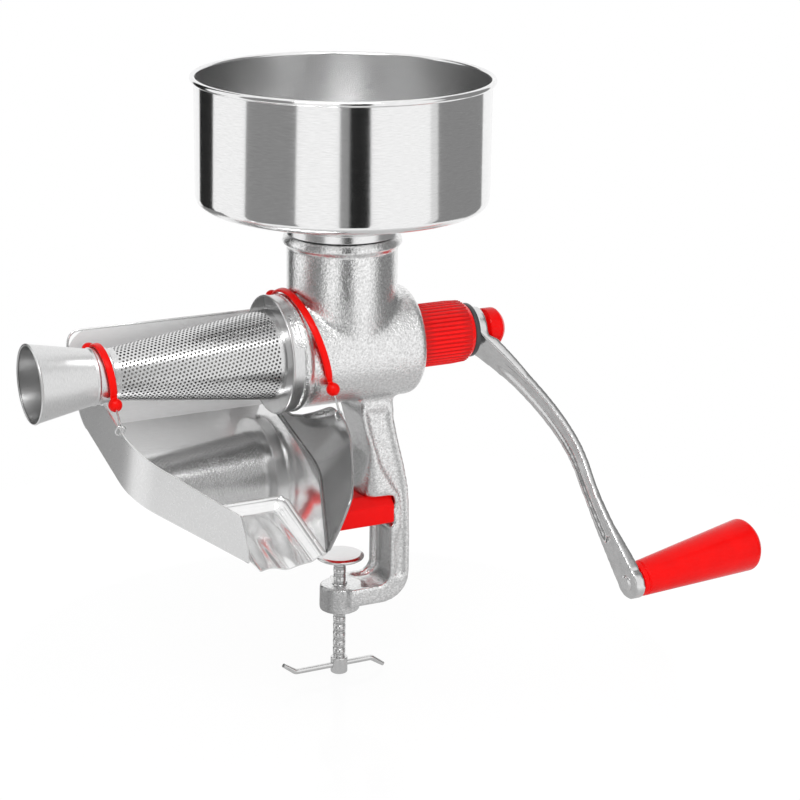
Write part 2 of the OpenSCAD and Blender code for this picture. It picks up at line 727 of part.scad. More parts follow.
module outlet_funnel() {
    color("silver") on_axis(-cone_tip) mirror([0, 0, 1]) {
        rotate_extrude() polygon([
            [cone_narrow_d / 2 - filter_sheet, 0], [neck_r, 0], [neck_r, neck_len], [mouth_d / 2, neck_len + funnel_len],
            [mouth_d / 2 - filter_sheet, neck_len + funnel_len], [neck_r - filter_sheet, neck_len],
            [neck_r - filter_sheet, filter_sheet], [cone_narrow_d / 2 - filter_sheet, filter_sheet]]);
        translate([0, 0, neck_len - 1]) wire_ring(neck_r, 0.8);
        translate([0, 0, neck_len + funnel_len]) wire_ring(mouth_d / 2 - filter_sheet / 2, mouth_bead_d / 2);
    }
}

// Tray: its own frame lies on the floor, with Y running up the slope to the back

module in_tray() {
    translate([0, 0, shaft_h - tray_drop]) rotate([tray_slope, 0, 0]) children();
}

// Extrudes a side view in Y and Z along X, from x0 for a length
module along_x(x0, length) {
    translate([x0, 0, 0]) rotate([90, 0, 90]) linear_extrude(length) children();
}

// Corners of the floor, with y positive towards the back
spout_right = -flange_front - 37;
spout_left = spout_right - spout_w;
spout_slant = spout_depth + 0.5;
tray_right = -flange_front + right_in;
right_corner = [tray_right, -right_turn];
right_end = [spout_right + 5.5, 1 - floor_front];
diag_end = [spout_left + 1, 3 - floor_front];
plate_start = [bend_start + back_bend * cos(tray_slope), back_bend * (1 - sin(tray_slope))];
plate_low = bend_start * sin(tray_slope) + plate_start.y * cos(tray_slope)
    + (plate_start.x - bend_start) * sin(tray_slope);
plate_len = back_top + tray_drop - plate_low;

// Line of the bend and the back plate, at a distance below the inner surface
function back_line(d) = concat(arc([bend_start, back_bend], back_bend + d, -90, -tray_slope, 10),
    [plate_start + plate_len * [sin(tray_slope), cos(tray_slope)] + d * [cos(tray_slope), -sin(tray_slope)]]);
function reverse(v) = [for (i = [len(v) - 1:-1:0]) v[i]];

spout_back = spout_len - floor_front - 3;
spout_lip = -floor_front - 3;

module tray_floor() {
    color("gainsboro") in_tray() translate([0, 0, -tray_sheet]) linear_extrude(tray_sheet) difference() {
        polygon([[tray_left, bend_start], [tray_left, -left_front], diag_end, [spout_left, -floor_front - 2],
            [spout_right, -floor_front - 2], right_end, right_corner, [tray_right, bend_start]]);
        translate([spout_left, spout_back - spout_len * 2]) square([spout_w, spout_len * 2]);
    }
}

module tray_spout() {
    t = tray_sheet;
    low = spout_depth + t;
    color("silver") in_tray() intersection() {
        union() {
            across_y(4 * floor_front) polygon([[spout_left, 0], [spout_left, -t], [spout_left + spout_slant - t, -low],
                [spout_right - spout_slant + t, -low], [spout_right, -t], [spout_right, 0],
                [spout_right - spout_slant, t - low], [spout_left + spout_slant, t - low]]);
            translate([spout_left, spout_back - t, -low]) cube([spout_w, t, low]);
        }
        translate([0, 0, -2 * low]) linear_extrude(2 * low) polygon([[spout_left, spout_back], [spout_right, spout_back],
            [spout_right, spout_lip + 1], [spout_left + 12, spout_lip - 1.5], [spout_left + 5, spout_lip + 12],
            [spout_left, spout_lip + 12]]);
    }
}

module tray_back() {
    left = tray_left - back_over;
    color("gainsboro") difference() {
        in_tray() along_x(left, tray_right - left + back_over) polygon(concat(back_line(0), reverse(back_line(tray_sheet))));
        translate([left, tray_back - cut, shaft_h + back_top - back_corner]) rotate([-90, 0, 0]) difference() {
            translate([-cut, -back_corner - cut, 0]) cube([back_corner + cut, back_corner + cut, 4 * cut]);
            translate([back_corner, 0, -cut]) cylinder(r = back_corner, h = 6 * cut);
        }
        translate([left - cut, 0, shaft_h - tray_drop - 10 * cut])
            cube([back_over + cut, 2 * tray_back, tray_drop - back_corner + 10 * cut]);
        translate(back_hole - [0, 2 * cut, 0]) rotate([-90, 0, 0]) cylinder(r = wire_d, h = 4 * cut);
    }
}

module tray_left_wall() {
    t = tray_sheet;
    top_back = plate_start + (plate_len - back_corner) * [sin(tray_slope), cos(tray_slope)];
    diag = diag_end - [tray_left, -left_front];
    along = diag / norm(diag);
    inward = [-along.y, along.x];
    corner = [tray_left, -left_front];
    fall = 0.18 * side_h;
    color("lightgray") difference() {
        in_tray() difference() {
            union() {
                along_x(tray_left, t) polygon(concat([[-left_front, 0]], [for (i = [0:10]) back_line(0)[i]],
                    [top_back, [bend_start, side_h + 2], [20, side_h], [-left_front, side_h]]));
                linear_extrude(side_h) polygon([corner, corner + [0, t], corner + [t, t], diag_end - t * inward * -1,
                    diag_end]);
            }
            along_x(tray_left - cut, 2 * tray_span) polygon([[-left_front, side_h], [-left_front - norm(diag), side_h - fall],
                [-left_front - norm(diag), side_h + cut], [-left_front, side_h + cut]]);
            along_x(tray_left - cut, 2 * tray_span) polygon([diag_end.y * [1, 0], [diag_end.y + 0.29 * side_h, side_h],
                [diag_end.y - side_h, side_h], [diag_end.y - side_h, 0]]);
            for (y = [-hook_front_t, hook_rear_t])
                translate([tray_left - cut, y, side_h - eye_r]) rotate([0, 90, 0]) cylinder(r = wire_d, h = 4 * cut);
        }
        on_axis(tray_left - cut) cylinder(r = neck_r + 1.3, h = 4 * cut);
    }
}

// The right wall has two panels that meet in a fold. Each is drawn with X along the floor's edge and
// Y up its leaning face.
module on_panel(start, end) {
    d = end - start;
    in_tray() translate([start.x, start.y, 0]) rotate([0, 0, atan2(d.y, d.x)]) rotate([90 - right_lean, 0, 0]) children();
}

module tray_right_wall() {
    lap = 0.5;
    d = right_end - right_corner;
    end_len = norm(d);
    fold = tan(atan2(-d.x, -d.y) / 2) * sin(right_lean);
    color("gray") {
        on_panel([tray_right, 0], right_corner) difference() {
            linear_extrude(tray_sheet) polygon([[-0.2 * right_turn, 0], [right_turn + lap, 0],
                [right_turn + lap + fold * right_h, right_h], [0.8 * right_turn, right_h],
                [0.56 * right_turn, 0.95 * right_h], [0.33 * right_turn, 0.58 * right_h],
                [0.165 * right_turn, 0.355 * right_h], [0, 0.2 * right_h], [-0.2 * right_turn, 0.13 * right_h]]);
            translate([hook_s, right_h - eye_r, -cut]) cylinder(r = wire_d, h = 4 * cut);
        }
        on_panel(right_corner, right_end) linear_extrude(tray_sheet) polygon([[-lap, 0], [end_len, 0],
            [end_len - 0.29 * right_h, 0.33 * right_h], [end_len - 0.58 * right_h, 0.75 * right_h],
            [end_len / 2, 0.89 * right_h], [0.38 * right_h, 0.95 * right_h],
            [-lap - fold * right_h, right_h]]);
    }
}

// Straps, balls and hooks

hook_s = right_turn - hook_back;
strap_barrel_x = -throat_r + strap_back;
strap_barrel_lean = 15;
strap_neck_x = -cone_tip - strap_step;
strap_neck_lean = 7;
ball_r = ball_d / 2;
barrel_ball_r = barrel_r + close_gap + ball_r + 0.6;
neck_ball_r = neck_r + close_gap + ball_r + 0.9;
barrel_front_turn = 112;
barrel_back_turn = 45;
neck_front_turn = 128;
hook_rear_turn = 60;

// Point at radius r round the crank axis, turned from the top towards the front, on a leaning loop
function around(x, r, turn, lean) = [x - r * cos(turn) * tan(lean), -r * sin(turn), shaft_h + r * cos(turn)];

// A point given in the tray's frame
function tray_point(p) = [p.x, p.y * cos(tray_slope) - p.z * sin(tray_slope),
    shaft_h - tray_drop + p.y * sin(tray_slope) + p.z * cos(tray_slope)];

// A leaning strap that clears radius r_top at the top and r_side at the side, with a ball at each end
module strap(x, r_top, r_side, lean, front_turn, back_turn, ball_at) {
    rise = (r_top + strap_w / 2 * sin(lean)) / cos(lean) - r_side;
    translate([x, 0, shaft_h]) rotate([0, 90 - lean, 0]) translate([-rise, 0, -strap_w / 2])
        rotate([0, 0, 180 - back_turn]) rotate_extrude(angle = front_turn + back_turn)
        translate([r_side, 0]) square([strap_t, strap_w]);
    for (turn = [front_turn, -back_turn]) translate(around(x, ball_at, turn, lean)) sphere(r = ball_r, $fn = 48);
}

module strap_barrel() {
    color("red") strap(strap_barrel_x, flange_r + close_gap, barrel_r + strap_side, strap_barrel_lean, barrel_front_turn,
        barrel_back_turn, barrel_ball_r);
}

module strap_neck() {
    color("red") strap(strap_neck_x, neck_r + close_gap, neck_r + close_gap + 0.5, strap_neck_lean, neck_front_turn,
        hook_rear_turn, neck_ball_r);
}

// Holes for the hooks, and the balls that the hooks hang from
sheet_mid = tray_sheet / 2;
left_hole = tray_point([tray_left + sheet_mid, -hook_front_t, side_h - eye_r]);
left_back_hole = tray_point([tray_left + sheet_mid, hook_rear_t, side_h - eye_r]);
right_hole = tray_point([tray_right + (right_h - eye_r) * sin(right_lean) + sheet_mid * cos(right_lean), -hook_s,
    (right_h - eye_r) * cos(right_lean) - sheet_mid * sin(right_lean)]);
back_hole = [tray_right - 1.5, tray_back + sheet_mid, shaft_h + back_top - eye_r];
right_normal = tray_point([cos(right_lean), 0, -sin(right_lean)]) - tray_point([0, 0, 0]);

// The direction from a hole to a ball, laid flat on a sheet with this normal
function along_sheet(hole, normal, ball) = let (d = ball - hole, flat = d - normal * (d * normal)) flat / norm(flat);
// A wire eye that stands out of a hole in a sheet, and the rod from it to a ball
module hook(hole, normal, out, ball) {
    eye = hole + eye_r * out;
    top = eye + eye_r * out;
    to_ball = (ball - top) / norm(ball - top);
    turn = cross(normal, out);
    translate(eye) rotate([0, acos(turn.z), atan2(turn.y, turn.x)]) wire_ring(eye_r, wire_d / 2);
    rod(top, ball - ball_r * to_ball, 0.42 * wire_d);
}

module strap_hooks() {
    side_up = [0, -sin(tray_slope), cos(tray_slope)];
    neck_front = around(strap_neck_x, neck_ball_r, neck_front_turn, strap_neck_lean);
    neck_rear = around(strap_neck_x, neck_ball_r, -neck_back_turn, strap_neck_lean);
    barrel_front_ball = around(strap_barrel_x, barrel_ball_r, barrel_front_turn, strap_barrel_lean);
    barrel_rear_ball = around(strap_barrel_x, barrel_ball_r, -barrel_back_turn, strap_barrel_lean);
    color("silver") {
        hook(left_hole, [1, 0, 0], side_up, neck_front);
        hook(left_back_hole, [1, 0, 0], side_up, neck_rear);
        hook(right_hole, right_normal, along_sheet(right_hole, right_normal, barrel_front_ball), barrel_front_ball);
        hook(back_hole, [0, 1, 0], along_sheet(back_hole, [0, 1, 0], barrel_rear_ball), barrel_rear_ball);
    }
}

body_barrel();
body_throat();
clamp_frame();
jaw_pad();
bayonet_pins();
shaft_bush();
shaft_seal();
collar_nut();
tray_floor();
tray_back();
tray_left_wall();
tray_right_wall();
tray_spout();
strap_barrel();
strap_neck();
strap_hooks();
hopper_bowl();
hopper_spigot();
filter_ring();
filter_gasket();
filter_cone();
outlet_funnel();
auger();
crank_shaft();
thrust_washer();
crank_arm();
crank_knob();
grip_pin();
grip();
clamp_screw();
pressure_disc();
cross_bar();
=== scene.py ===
# %% [markdown]
# # A hand-cranked tomato press that clamps to a table
# This file dresses a finished CAD model. The CAD fixes every size, so a piece made here goes exactly where
# the solid is and never changes a dimension. What is added is what CAD is poor at: a rough cast skin,
# punched holes, a rolled hem, soft edges on plastic, and the way each metal takes the light.

# %% Load the frame
import json
from math import asin, atan2, copysign, cos, degrees, pi, radians, sin, sqrt, tan

import bmesh
import bpy
import numpy as np
from mathutils import Matrix, Vector

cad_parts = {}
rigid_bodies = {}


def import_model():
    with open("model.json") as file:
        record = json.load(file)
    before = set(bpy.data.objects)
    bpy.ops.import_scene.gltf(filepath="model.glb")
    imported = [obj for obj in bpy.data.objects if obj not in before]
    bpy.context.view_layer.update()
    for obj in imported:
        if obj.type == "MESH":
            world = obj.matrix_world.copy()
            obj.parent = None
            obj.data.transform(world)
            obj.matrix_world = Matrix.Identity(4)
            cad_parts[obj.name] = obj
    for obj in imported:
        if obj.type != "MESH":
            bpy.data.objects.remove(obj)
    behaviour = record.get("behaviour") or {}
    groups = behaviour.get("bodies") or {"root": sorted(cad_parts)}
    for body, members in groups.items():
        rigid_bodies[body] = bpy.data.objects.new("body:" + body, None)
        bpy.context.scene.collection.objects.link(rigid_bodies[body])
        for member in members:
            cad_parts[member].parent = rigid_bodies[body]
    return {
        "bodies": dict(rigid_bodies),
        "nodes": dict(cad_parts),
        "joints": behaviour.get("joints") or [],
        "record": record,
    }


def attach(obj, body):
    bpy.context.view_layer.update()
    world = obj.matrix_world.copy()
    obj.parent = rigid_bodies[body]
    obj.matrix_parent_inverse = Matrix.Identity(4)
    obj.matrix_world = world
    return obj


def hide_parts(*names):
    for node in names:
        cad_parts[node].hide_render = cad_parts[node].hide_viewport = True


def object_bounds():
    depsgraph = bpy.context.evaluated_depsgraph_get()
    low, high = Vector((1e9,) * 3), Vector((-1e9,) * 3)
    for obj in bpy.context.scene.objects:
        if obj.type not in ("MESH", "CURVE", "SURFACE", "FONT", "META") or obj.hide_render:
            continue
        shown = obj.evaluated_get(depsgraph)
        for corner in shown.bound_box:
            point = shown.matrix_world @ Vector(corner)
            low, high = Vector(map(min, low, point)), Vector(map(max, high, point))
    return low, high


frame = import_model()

cad_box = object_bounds()
nodes = frame["nodes"]
print("solids loaded:", len(nodes), "box:", [[round(v, 4) for v in corner] for corner in cad_box])

# %% [markdown]
# ## Sizes that several pieces share
# The model is in metres, but a press like this is thought of in millimetres, so sizes are written in
# millimetres and turned into metres at the last moment. The crank's axis lies along X at a height of 138.5
# mm, and the funnel end points to -X.

# %% Shared sizes
MM = 0.001
SHAFT_H = 138.5
BARREL_R, BARREL_REAR, THROAT_R = 41.5, 52.0, 40.7
LEG_LEFT, LEG_RIGHT, LEG_HALF = 8.0, 35.0, 19.0
BOWL_R, BOWL_SHEET, BOWL_SLOPE = 106.2, 1.0, tan(radians(21.7))
BOWL_FOOT_Z, BOWL_FOOT_OUT, BOWL_FOOT_IN = 222.0, 42.8, 40.1
RING_FACE, RING_R, FILTER_SHEET = 58.0, 42.8, 0.8
CONE_WIDE, CONE_NARROW, CONE_LEN = 33.0, 18.3, 124.0
CONE_TIP = RING_FACE + CONE_LEN
NECK_R, NECK_LEN, FUNNEL_LEN, MOUTH_R = 20.0, 13.0, 43.0, 28.0
COLLAR_R, COLLAR_LEN, HUB_IN = 24.0, 50.0, 106.5
CRANK_TURN, CRANK_R, PIN_X, GRIP_TILT, BOSS_T = 40.0, 216.0, 168.5, 6.7, 8.3
TRAY_SLOPE, TRAY_DROP = 15.8, 54.9

UPRIGHT = Matrix.Identity(4)
ON_CRANK = Matrix.Translation((0, 0, SHAFT_H)) @ Matrix.Rotation(radians(90), 4, "Y")
TURNED = Matrix.Translation((0, 0, SHAFT_H)) @ Matrix.Rotation(radians(-CRANK_TURN), 4, "X")
ON_GRIP = TURNED @ Matrix.Translation((PIN_X, 0, -CRANK_R)) @ Matrix.Rotation(radians(90 - GRIP_TILT), 4, "Y")
ON_TRAY = Matrix.Translation((0, 0, SHAFT_H - TRAY_DROP)) @ Matrix.Rotation(radians(TRAY_SLOPE), 4, "X")
print("crank axis at", SHAFT_H, "mm, cone from", -RING_FACE, "to", -CONE_TIP, "mm")

# %% [markdown]
# ## The camera
# The view is the one that the product was photographed from: a long lens, so that the round bowl keeps
# nearly parallel sides, about 18 degrees above the table and 27 degrees round to the left. The numbers come
# from fitting circles and straight edges of known size to the picture.

# %% Put the camera where the photographer stood
def camera_place(azimuth, elevation, roll, distance, target):
    """The camera's matrix, looking at a target. Angles are in radians and lengths in millimetres."""
    away = Vector((-sin(azimuth) * cos(elevation), -cos(azimuth) * cos(elevation), sin(elevation)))
    right = (-away).cross(Vector((0, 0, 1))).normalized()
    up = right.cross(-away)
    across = right * cos(roll) + up * sin(roll)
    upward = up * cos(roll) - right * sin(roll)
    place = Matrix((across, upward, away)).transposed().to_4x4()
    place.translation = (Vector(target) + away * distance) * MM
    return place

CAMERA_TURN, CAMERA_RISE, CAMERA_ROLL = 0.472, 0.3084, 0.016
CAMERA_AWAY, CAMERA_AIM = 1697.4, (49.15, 0.0, 89.92)
lens = bpy.data.cameras.new("camera")
lens.sensor_width, lens.lens = 36.0, 101.47
lens.clip_start, lens.clip_end = 0.05, 50.0
camera = bpy.data.objects.new("camera", lens)
camera.matrix_world = camera_place(CAMERA_TURN, CAMERA_RISE, CAMERA_ROLL, CAMERA_AWAY, CAMERA_AIM)
bpy.context.scene.collection.objects.link(camera)
bpy.context.scene.camera = camera
print("camera stands at", [round(v, 3) for v in camera.matrix_world.translation])

# %% [markdown]
# ## Sums on sockets
# A material is a graph, and every sum in it is a Math node. Written out, that takes five lines for one plus
# sign. A small class that wraps a socket lets Python's own signs add those nodes, so that a finish reads
# like a formula. Geometry Nodes use the same Math node, so the class serves both kinds of tree.

# %% A number that lives in a node tree
class Num:
    """A number socket. Signs and functions on it add Math nodes to its tree."""

    def __init__(self, tree, socket):
        self.tree, self.socket = tree, socket

    def math(self, operation, *values, clamp=False):
        made = self.tree.nodes.new("ShaderNodeMath")
        made.operation, made.use_clamp = operation, clamp
        for slot, value in zip(made.inputs, values):
            if isinstance(value, Num):
                self.tree.links.new(value.socket, slot)
            else:
                slot.default_value = value
        return Num(self.tree, made.outputs[0])

    def __add__(self, other):
        return self.math("ADD", self, other)

    def __radd__(self, other):
        return self.math("ADD", other, self)

    def __sub__(self, other):
        return self.math("SUBTRACT", self, other)

    def __rsub__(self, other):
        return self.math("SUBTRACT", other, self)

    def __mul__(self, other):
        return self.math("MULTIPLY", self, other)

    def __rmul__(self, other):
        return self.math("MULTIPLY", other, self)

    def __truediv__(self, other):
        return self.math("DIVIDE", self, other)

    def __rtruediv__(self, other):
        return self.math("DIVIDE", other, self)

    def __pow__(self, other):
        return self.math("POWER", self, other)

    def clamp(self):
        return self.math("ADD", self, 0.0, clamp=True)

    def sin(self):
        return self.math("SINE", self)

    def cos(self):
        return self.math("COSINE", self)

    def rise(self, low, high):
        """0 below low, 1 above high, and straight between. low may be the larger."""
        return ((self - low) * (1.0 / (high - low))).clamp()


class Graph:
    """A node tree, with one method that adds any node."""

    def __init__(self, tree):
        self.tree = tree

    def add(self, kind, settings=None, sockets=None, out=0):
        """Adds a node: its settings first, then values or links for its sockets. Gives back one output."""
        made = self.tree.nodes.new(kind)
        for name, value in (settings or {}).items():
            setattr(made, name, value)
        for key, value in (sockets or {}).items():
            socket = made.inputs[key] if isinstance(key, int) else [
                s for s in made.inputs if key in (s.name, s.identifier) and not s.is_unavailable][0]
            if isinstance(value, Num):
                self.tree.links.new(value.socket, socket)
            else:
                socket.default_value = value
        result = made.outputs[out] if isinstance(out, int) else [
            s for s in made.outputs if s.name == out and not s.is_unavailable][0]
        return Num(self.tree, result)

    def axes(self, vector):
        """The x, y and z of a vector, as three numbers."""
        made = self.add("ShaderNodeSeparateXYZ", None, {"Vector": vector})
        return [Num(self.tree, socket) for socket in made.socket.node.outputs]

    def join(self, x, y, z):
        """One vector from three numbers."""
        return self.add("ShaderNodeCombineXYZ", None, {"X": x, "Y": y, "Z": z})

    def rays(self, *names):
        """For each kind of ray by name, a number that is 1 while such a ray is looking."""
        made = self.add("ShaderNodeLightPath")
        return [Num(self.tree, made.socket.node.outputs[name]) for name in names]

print("sums on sockets are ready")

# %% [markdown]
# ## Setting up a finish
# Every finish here is one Principled shader. What is the same all over, such as the coat's roughness, is
# typed into the shader itself. What varies over the surface, such as grain, drives only colour, roughness or
# bump. The patterns read Object coordinates, which are metres here, so a noise scale of 500 gives spots
# about 2 mm apart.

# %% A finish with its graph
class Finish(Graph):
    """A material with one Principled shader that patterns can feed."""

    def __init__(self, name, colour, rough, metal=0.0, **fixed):
        self.material = bpy.data.materials.new(name)
        self.material.use_nodes = True
        super().__init__(self.material.node_tree)
        self.shader = self.tree.nodes["Principled BSDF"]
        self.fix("Base Color", (*colour, 1.0))
        self.fix("Roughness", rough)
        self.fix("Metallic", metal)
        for key, value in fixed.items():
            self.fix(key.replace("_", " "), value)
        self.place = self.add("ShaderNodeTexCoord", out="Object")

    def fix(self, socket, value):
        self.shader.inputs[socket].default_value = value

    def feed(self, socket, value):
        self.tree.links.new(value.socket, self.shader.inputs[socket])

    def stretched(self, x, y, z):
        """Object coordinates, stretched so that a pattern runs long one way."""
        return self.add("ShaderNodeMapping", None, {"Vector": self.place, "Scale": (x, y, z)})

    def noise(self, scale, detail=2.0, roughness=0.5, place=None):
        return self.add("ShaderNodeTexNoise", None, {"Vector": place or self.place, "Scale": scale,
            "Detail": detail, "Roughness": roughness}, out="Fac")

    def axes(self, vector=None):
        """The x, y and z of a vector, which is the Object coordinate if none is given."""
        return super().axes(vector or self.place)

    def tint(self, mask, first, second):
        """A colour that goes from the first to the second as the mask goes from 0 to 1."""
        first, second = ((*c, 1.0) if isinstance(c, tuple) else c for c in (first, second))
        return self.add("ShaderNodeMix", {"data_type": "RGBA"}, {"Factor": mask, "A": first, "B": second},
            out="Result")

    def bump(self, height, strength, depth):
        """Raises the surface by a height from 0 to 1. The depth is in millimetres."""
        self.feed("Normal", self.add("ShaderNodeBump", None, {"Height": height, "Strength": strength,
            "Distance": depth * MM}, out="Normal"))

print("finishes can be made")

# %% [markdown]
# ## The studio
# Polished steel shows little of its own: it shows the room. The photograph was taken in a white tent with
# black and grey cards standing round it, and each dark stripe on the bowl is one of those cards. So the
# stage is a white world, a small pale floor, and curved cards that only reflections can see. The cards are
# listed by the angle round the press at which they stand, counted from the camera, with their grey.

# %% A white world
def white_world(soft, shown):
    """A world that lights softly, and that looks white to the camera and in reflections."""
    world = bpy.data.worlds.new("tent")
    world.use_nodes = True
    graph = Graph(world.node_tree)
    camera_ray, glossy_ray, clear_ray = graph.rays("Is Camera Ray", "Is Glossy Ray", "Is Transmission Ray")
    seen = (camera_ray + glossy_ray + clear_ray).clamp()
    background = world.node_tree.nodes["Background"]
    background.inputs["Color"].default_value = (1.0, 1.0, 1.0, 1.0)
    world.node_tree.links.new((seen * (shown - soft) + soft).socket, background.inputs["Strength"])
    bpy.context.scene.world = world
    bpy.context.scene.view_settings.view_transform = "Standard"

white_world(soft=0.72, shown=1.0)
print("world is white, view transform:", bpy.context.scene.view_settings.view_transform)

# %% The pale floor
def plain_mesh(name, points, faces):
    """A mesh object from points in millimetres."""
    mesh = bpy.data.meshes.new(name)
    mesh.from_pydata([tuple(v * MM for v in point) for point in points], [], [tuple(face) for face in faces])
    mesh.update()
    made = bpy.data.objects.new(name, mesh)
    bpy.context.scene.collection.objects.link(made)
    return made

def round_steps(count):
    """Angles in even steps once round a circle."""
    return np.linspace(0, 2 * pi, count + 1)[:-1]

def floor_finish(fade_from, fade_to):
    """White paper that keeps a shadow near the press and melts into the white world further out. In reflections
    it has painted shade, grey near the press, as it is in the steel of the photograph."""
    made = Finish("white_paper", (0.86, 0.86, 0.86), 0.10)
    x, y, z = made.axes()
    far = ((x * x + y * y) ** 0.5).rise(fade_from * MM, fade_to * MM)
    camera_ray, glossy_ray = made.rays("Is Camera Ray", "Is Glossy Ray")
    seen = (camera_ray + glossy_ray).clamp()
    # painted shade: reflections see the floor grey near the press
    painted_floor_shade = (glossy_ray * (1.0 - far)).clamp()
    glow = made.add("ShaderNodeEmission", None, {"Color": made.tint(painted_floor_shade, (1.0, 1.0, 1.0), (0.50, 0.50, 0.50)),
        "Strength": 1.03})
    share = (far * seen + camera_ray * 0.86 + glossy_ray * 0.75).clamp()
    mixed = made.add("ShaderNodeMixShader", None, {0: share})
    mix = mixed.socket.node
    made.tree.links.new(made.shader.outputs[0], mix.inputs[1])
    made.tree.links.new(glow.socket, mix.inputs[2])
    made.tree.links.new(mix.outputs[0], made.tree.nodes["Material Output"].inputs["Surface"])
    return made.material

FLOOR_Z = cad_box[0][2] / MM - 0.3
FLOOR_R, FLOOR_X, FLOOR_SIDES = 520, 20, 96
rim = [(FLOOR_R * cos(a) + FLOOR_X, FLOOR_R * sin(a), FLOOR_Z) for a in round_steps(FLOOR_SIDES)]
paper = plain_mesh("floor", rim, [range(FLOOR_SIDES)])
paper.data.materials.append(floor_finish(260, 480))
print("floor at", round(FLOOR_Z, 1), "mm")

# %% Cards that only reflections see
TENT_R, MIRROR_R, CARD_LOW = 1050, 106, -420

def card(name, start, end, grey, low=CARD_LOW, high=1500):
    """A curved card from one angle to another round the press, counted from the camera to the right."""
    towards = Vector((-sin(CAMERA_TURN), -cos(CAMERA_TURN), 0))
    right = Vector((cos(CAMERA_TURN), -sin(CAMERA_TURN), 0))
    steps = max(2, int(abs(end - start) / 3))
    points, faces = [], []
    for i in range(steps + 1):
        angle = radians(start + (end - start) * i / steps)
        foot = (towards * cos(angle) + right * sin(angle)) * TENT_R
        points += [(foot.x, foot.y, low), (foot.x, foot.y, high)]
    for i in range(steps):
        faces.append((2 * i, 2 * i + 1, 2 * i + 3, 2 * i + 2))
    made = plain_mesh(name, points, faces)
    finish = Finish(name, (0, 0, 0), 1.0)
    finish.fix("Specular IOR Level", 0.0)
    finish.fix("Emission Color", (grey, grey, grey, 1.0))
    finish.fix("Emission Strength", 1.0)
    made.data.materials.append(finish.material)
    made.visible_camera = made.visible_diffuse = made.visible_shadow = False

def reflected(across):
    """The angle at which the bowl's wall shows the tent, for a place across the bowl from -1 to 1."""
    normal = asin(across)
    return degrees(2 * normal - asin(MIRROR_R / TENT_R * sin(normal)))

BOWL_BANDS = [(-0.955, -0.862, 0.02), (-0.640, -0.300, 0.27), (-0.005, 0.060, 0.30), (0.060, 0.200, 0.015),
    (0.600, 0.650, 0.75), (0.650, 0.940, 0.26)]
for i, (left, right, grey) in enumerate(BOWL_BANDS):
    card(f"card_{i}", reflected(left), reflected(right), grey, low=-130 if left < -0.9 else CARD_LOW)
card("low_card", -152, -104, 0.24, high=-132)
card("key_panel", -42, 30, 9.0, low=1180, high=1640)
print("cards:", len(BOWL_BANDS) + 2)

# %% Three soft boxes
def soft_box(name, place, target, size, watts):
    """A square lamp that bright steel doesn't mirror, with its place and its target in millimetres."""
    lamp = bpy.data.lights.new(name, "AREA")
    lamp.size, lamp.energy = size, watts
    made = bpy.data.objects.new(name, lamp)
    made.location = Vector(place) * MM
    made.rotation_euler = (Vector(place) - Vector(target)).to_track_quat("Z", "Y").to_euler()
    made.visible_glossy = False
    bpy.context.scene.collection.objects.link(made)

soft_box("key_box", (-900, -1100, 1300), (0, 0, 100), 0.8, 9.0)
soft_box("fill_box", (1300, -700, 700), (0, 0, 100), 0.6, 3.0)
soft_box("tray_box", (-350, -1300, 260), (-110, 0, 100), 0.5, 5.0)
print("lamps are up")

# %% [markdown]
# ## The finishes
# Tinned cast iron sparkles: the tin follows a sandy mould, so it is bright metal with a coarse grain that
# throws small highlights and dark specks. Two noises of different size make that grain, and the same grain
# drives the colour, the roughness and the bump, as it does on the real skin. The frame's faces that look
# along the shaft towards the funnel get painted shade below the barrel, and the throat's grain is flatter.

# %% Tinned casting
def tinned_casting():
    """The skin of barrel, throat and frame. Its heights above the table's level are in metres."""
    made = Finish("tinned_casting", (0.84, 0.84, 0.84), 0.20, 1.0)
    coarse = made.noise(560, 3.0, 0.6)
    fine = made.noise(1000, 2.0, 0.6)
    grain = coarse * 0.7 + fine * 0.3
    colour = made.tint(grain.rise(0.34, 0.62), (0.64, 0.64, 0.64), (0.96, 0.96, 0.96))
    facing = made.axes(made.add("ShaderNodeTexCoord", out="Normal"))
    height = made.axes()[2]
    on_frame, on_throat = height.rise(0.102, 0.094), height.rise(0.165, 0.190)
    # painted shade: the frame's faces that look towards the funnel are darkened below the barrel
    painted_side_shade = (facing[0] * -1.0).rise(0.25, 0.85) * on_frame * 0.62
    made.feed("Base Color", made.tint(painted_side_shade, colour, (0.20, 0.20, 0.20)))
    made.feed("Roughness", grain.rise(0.3, 0.65) * -0.06 + 0.17)
    made.bump(grain * (on_throat * -0.42 + 1.0), 1.0, 0.62)
    return made.material

# %% [markdown]
# Spun steel is brushed in circles round its axis. The lines are a noise squeezed along the height and
# stretched round the circle, so the coordinates are turned into an angle and a height first.

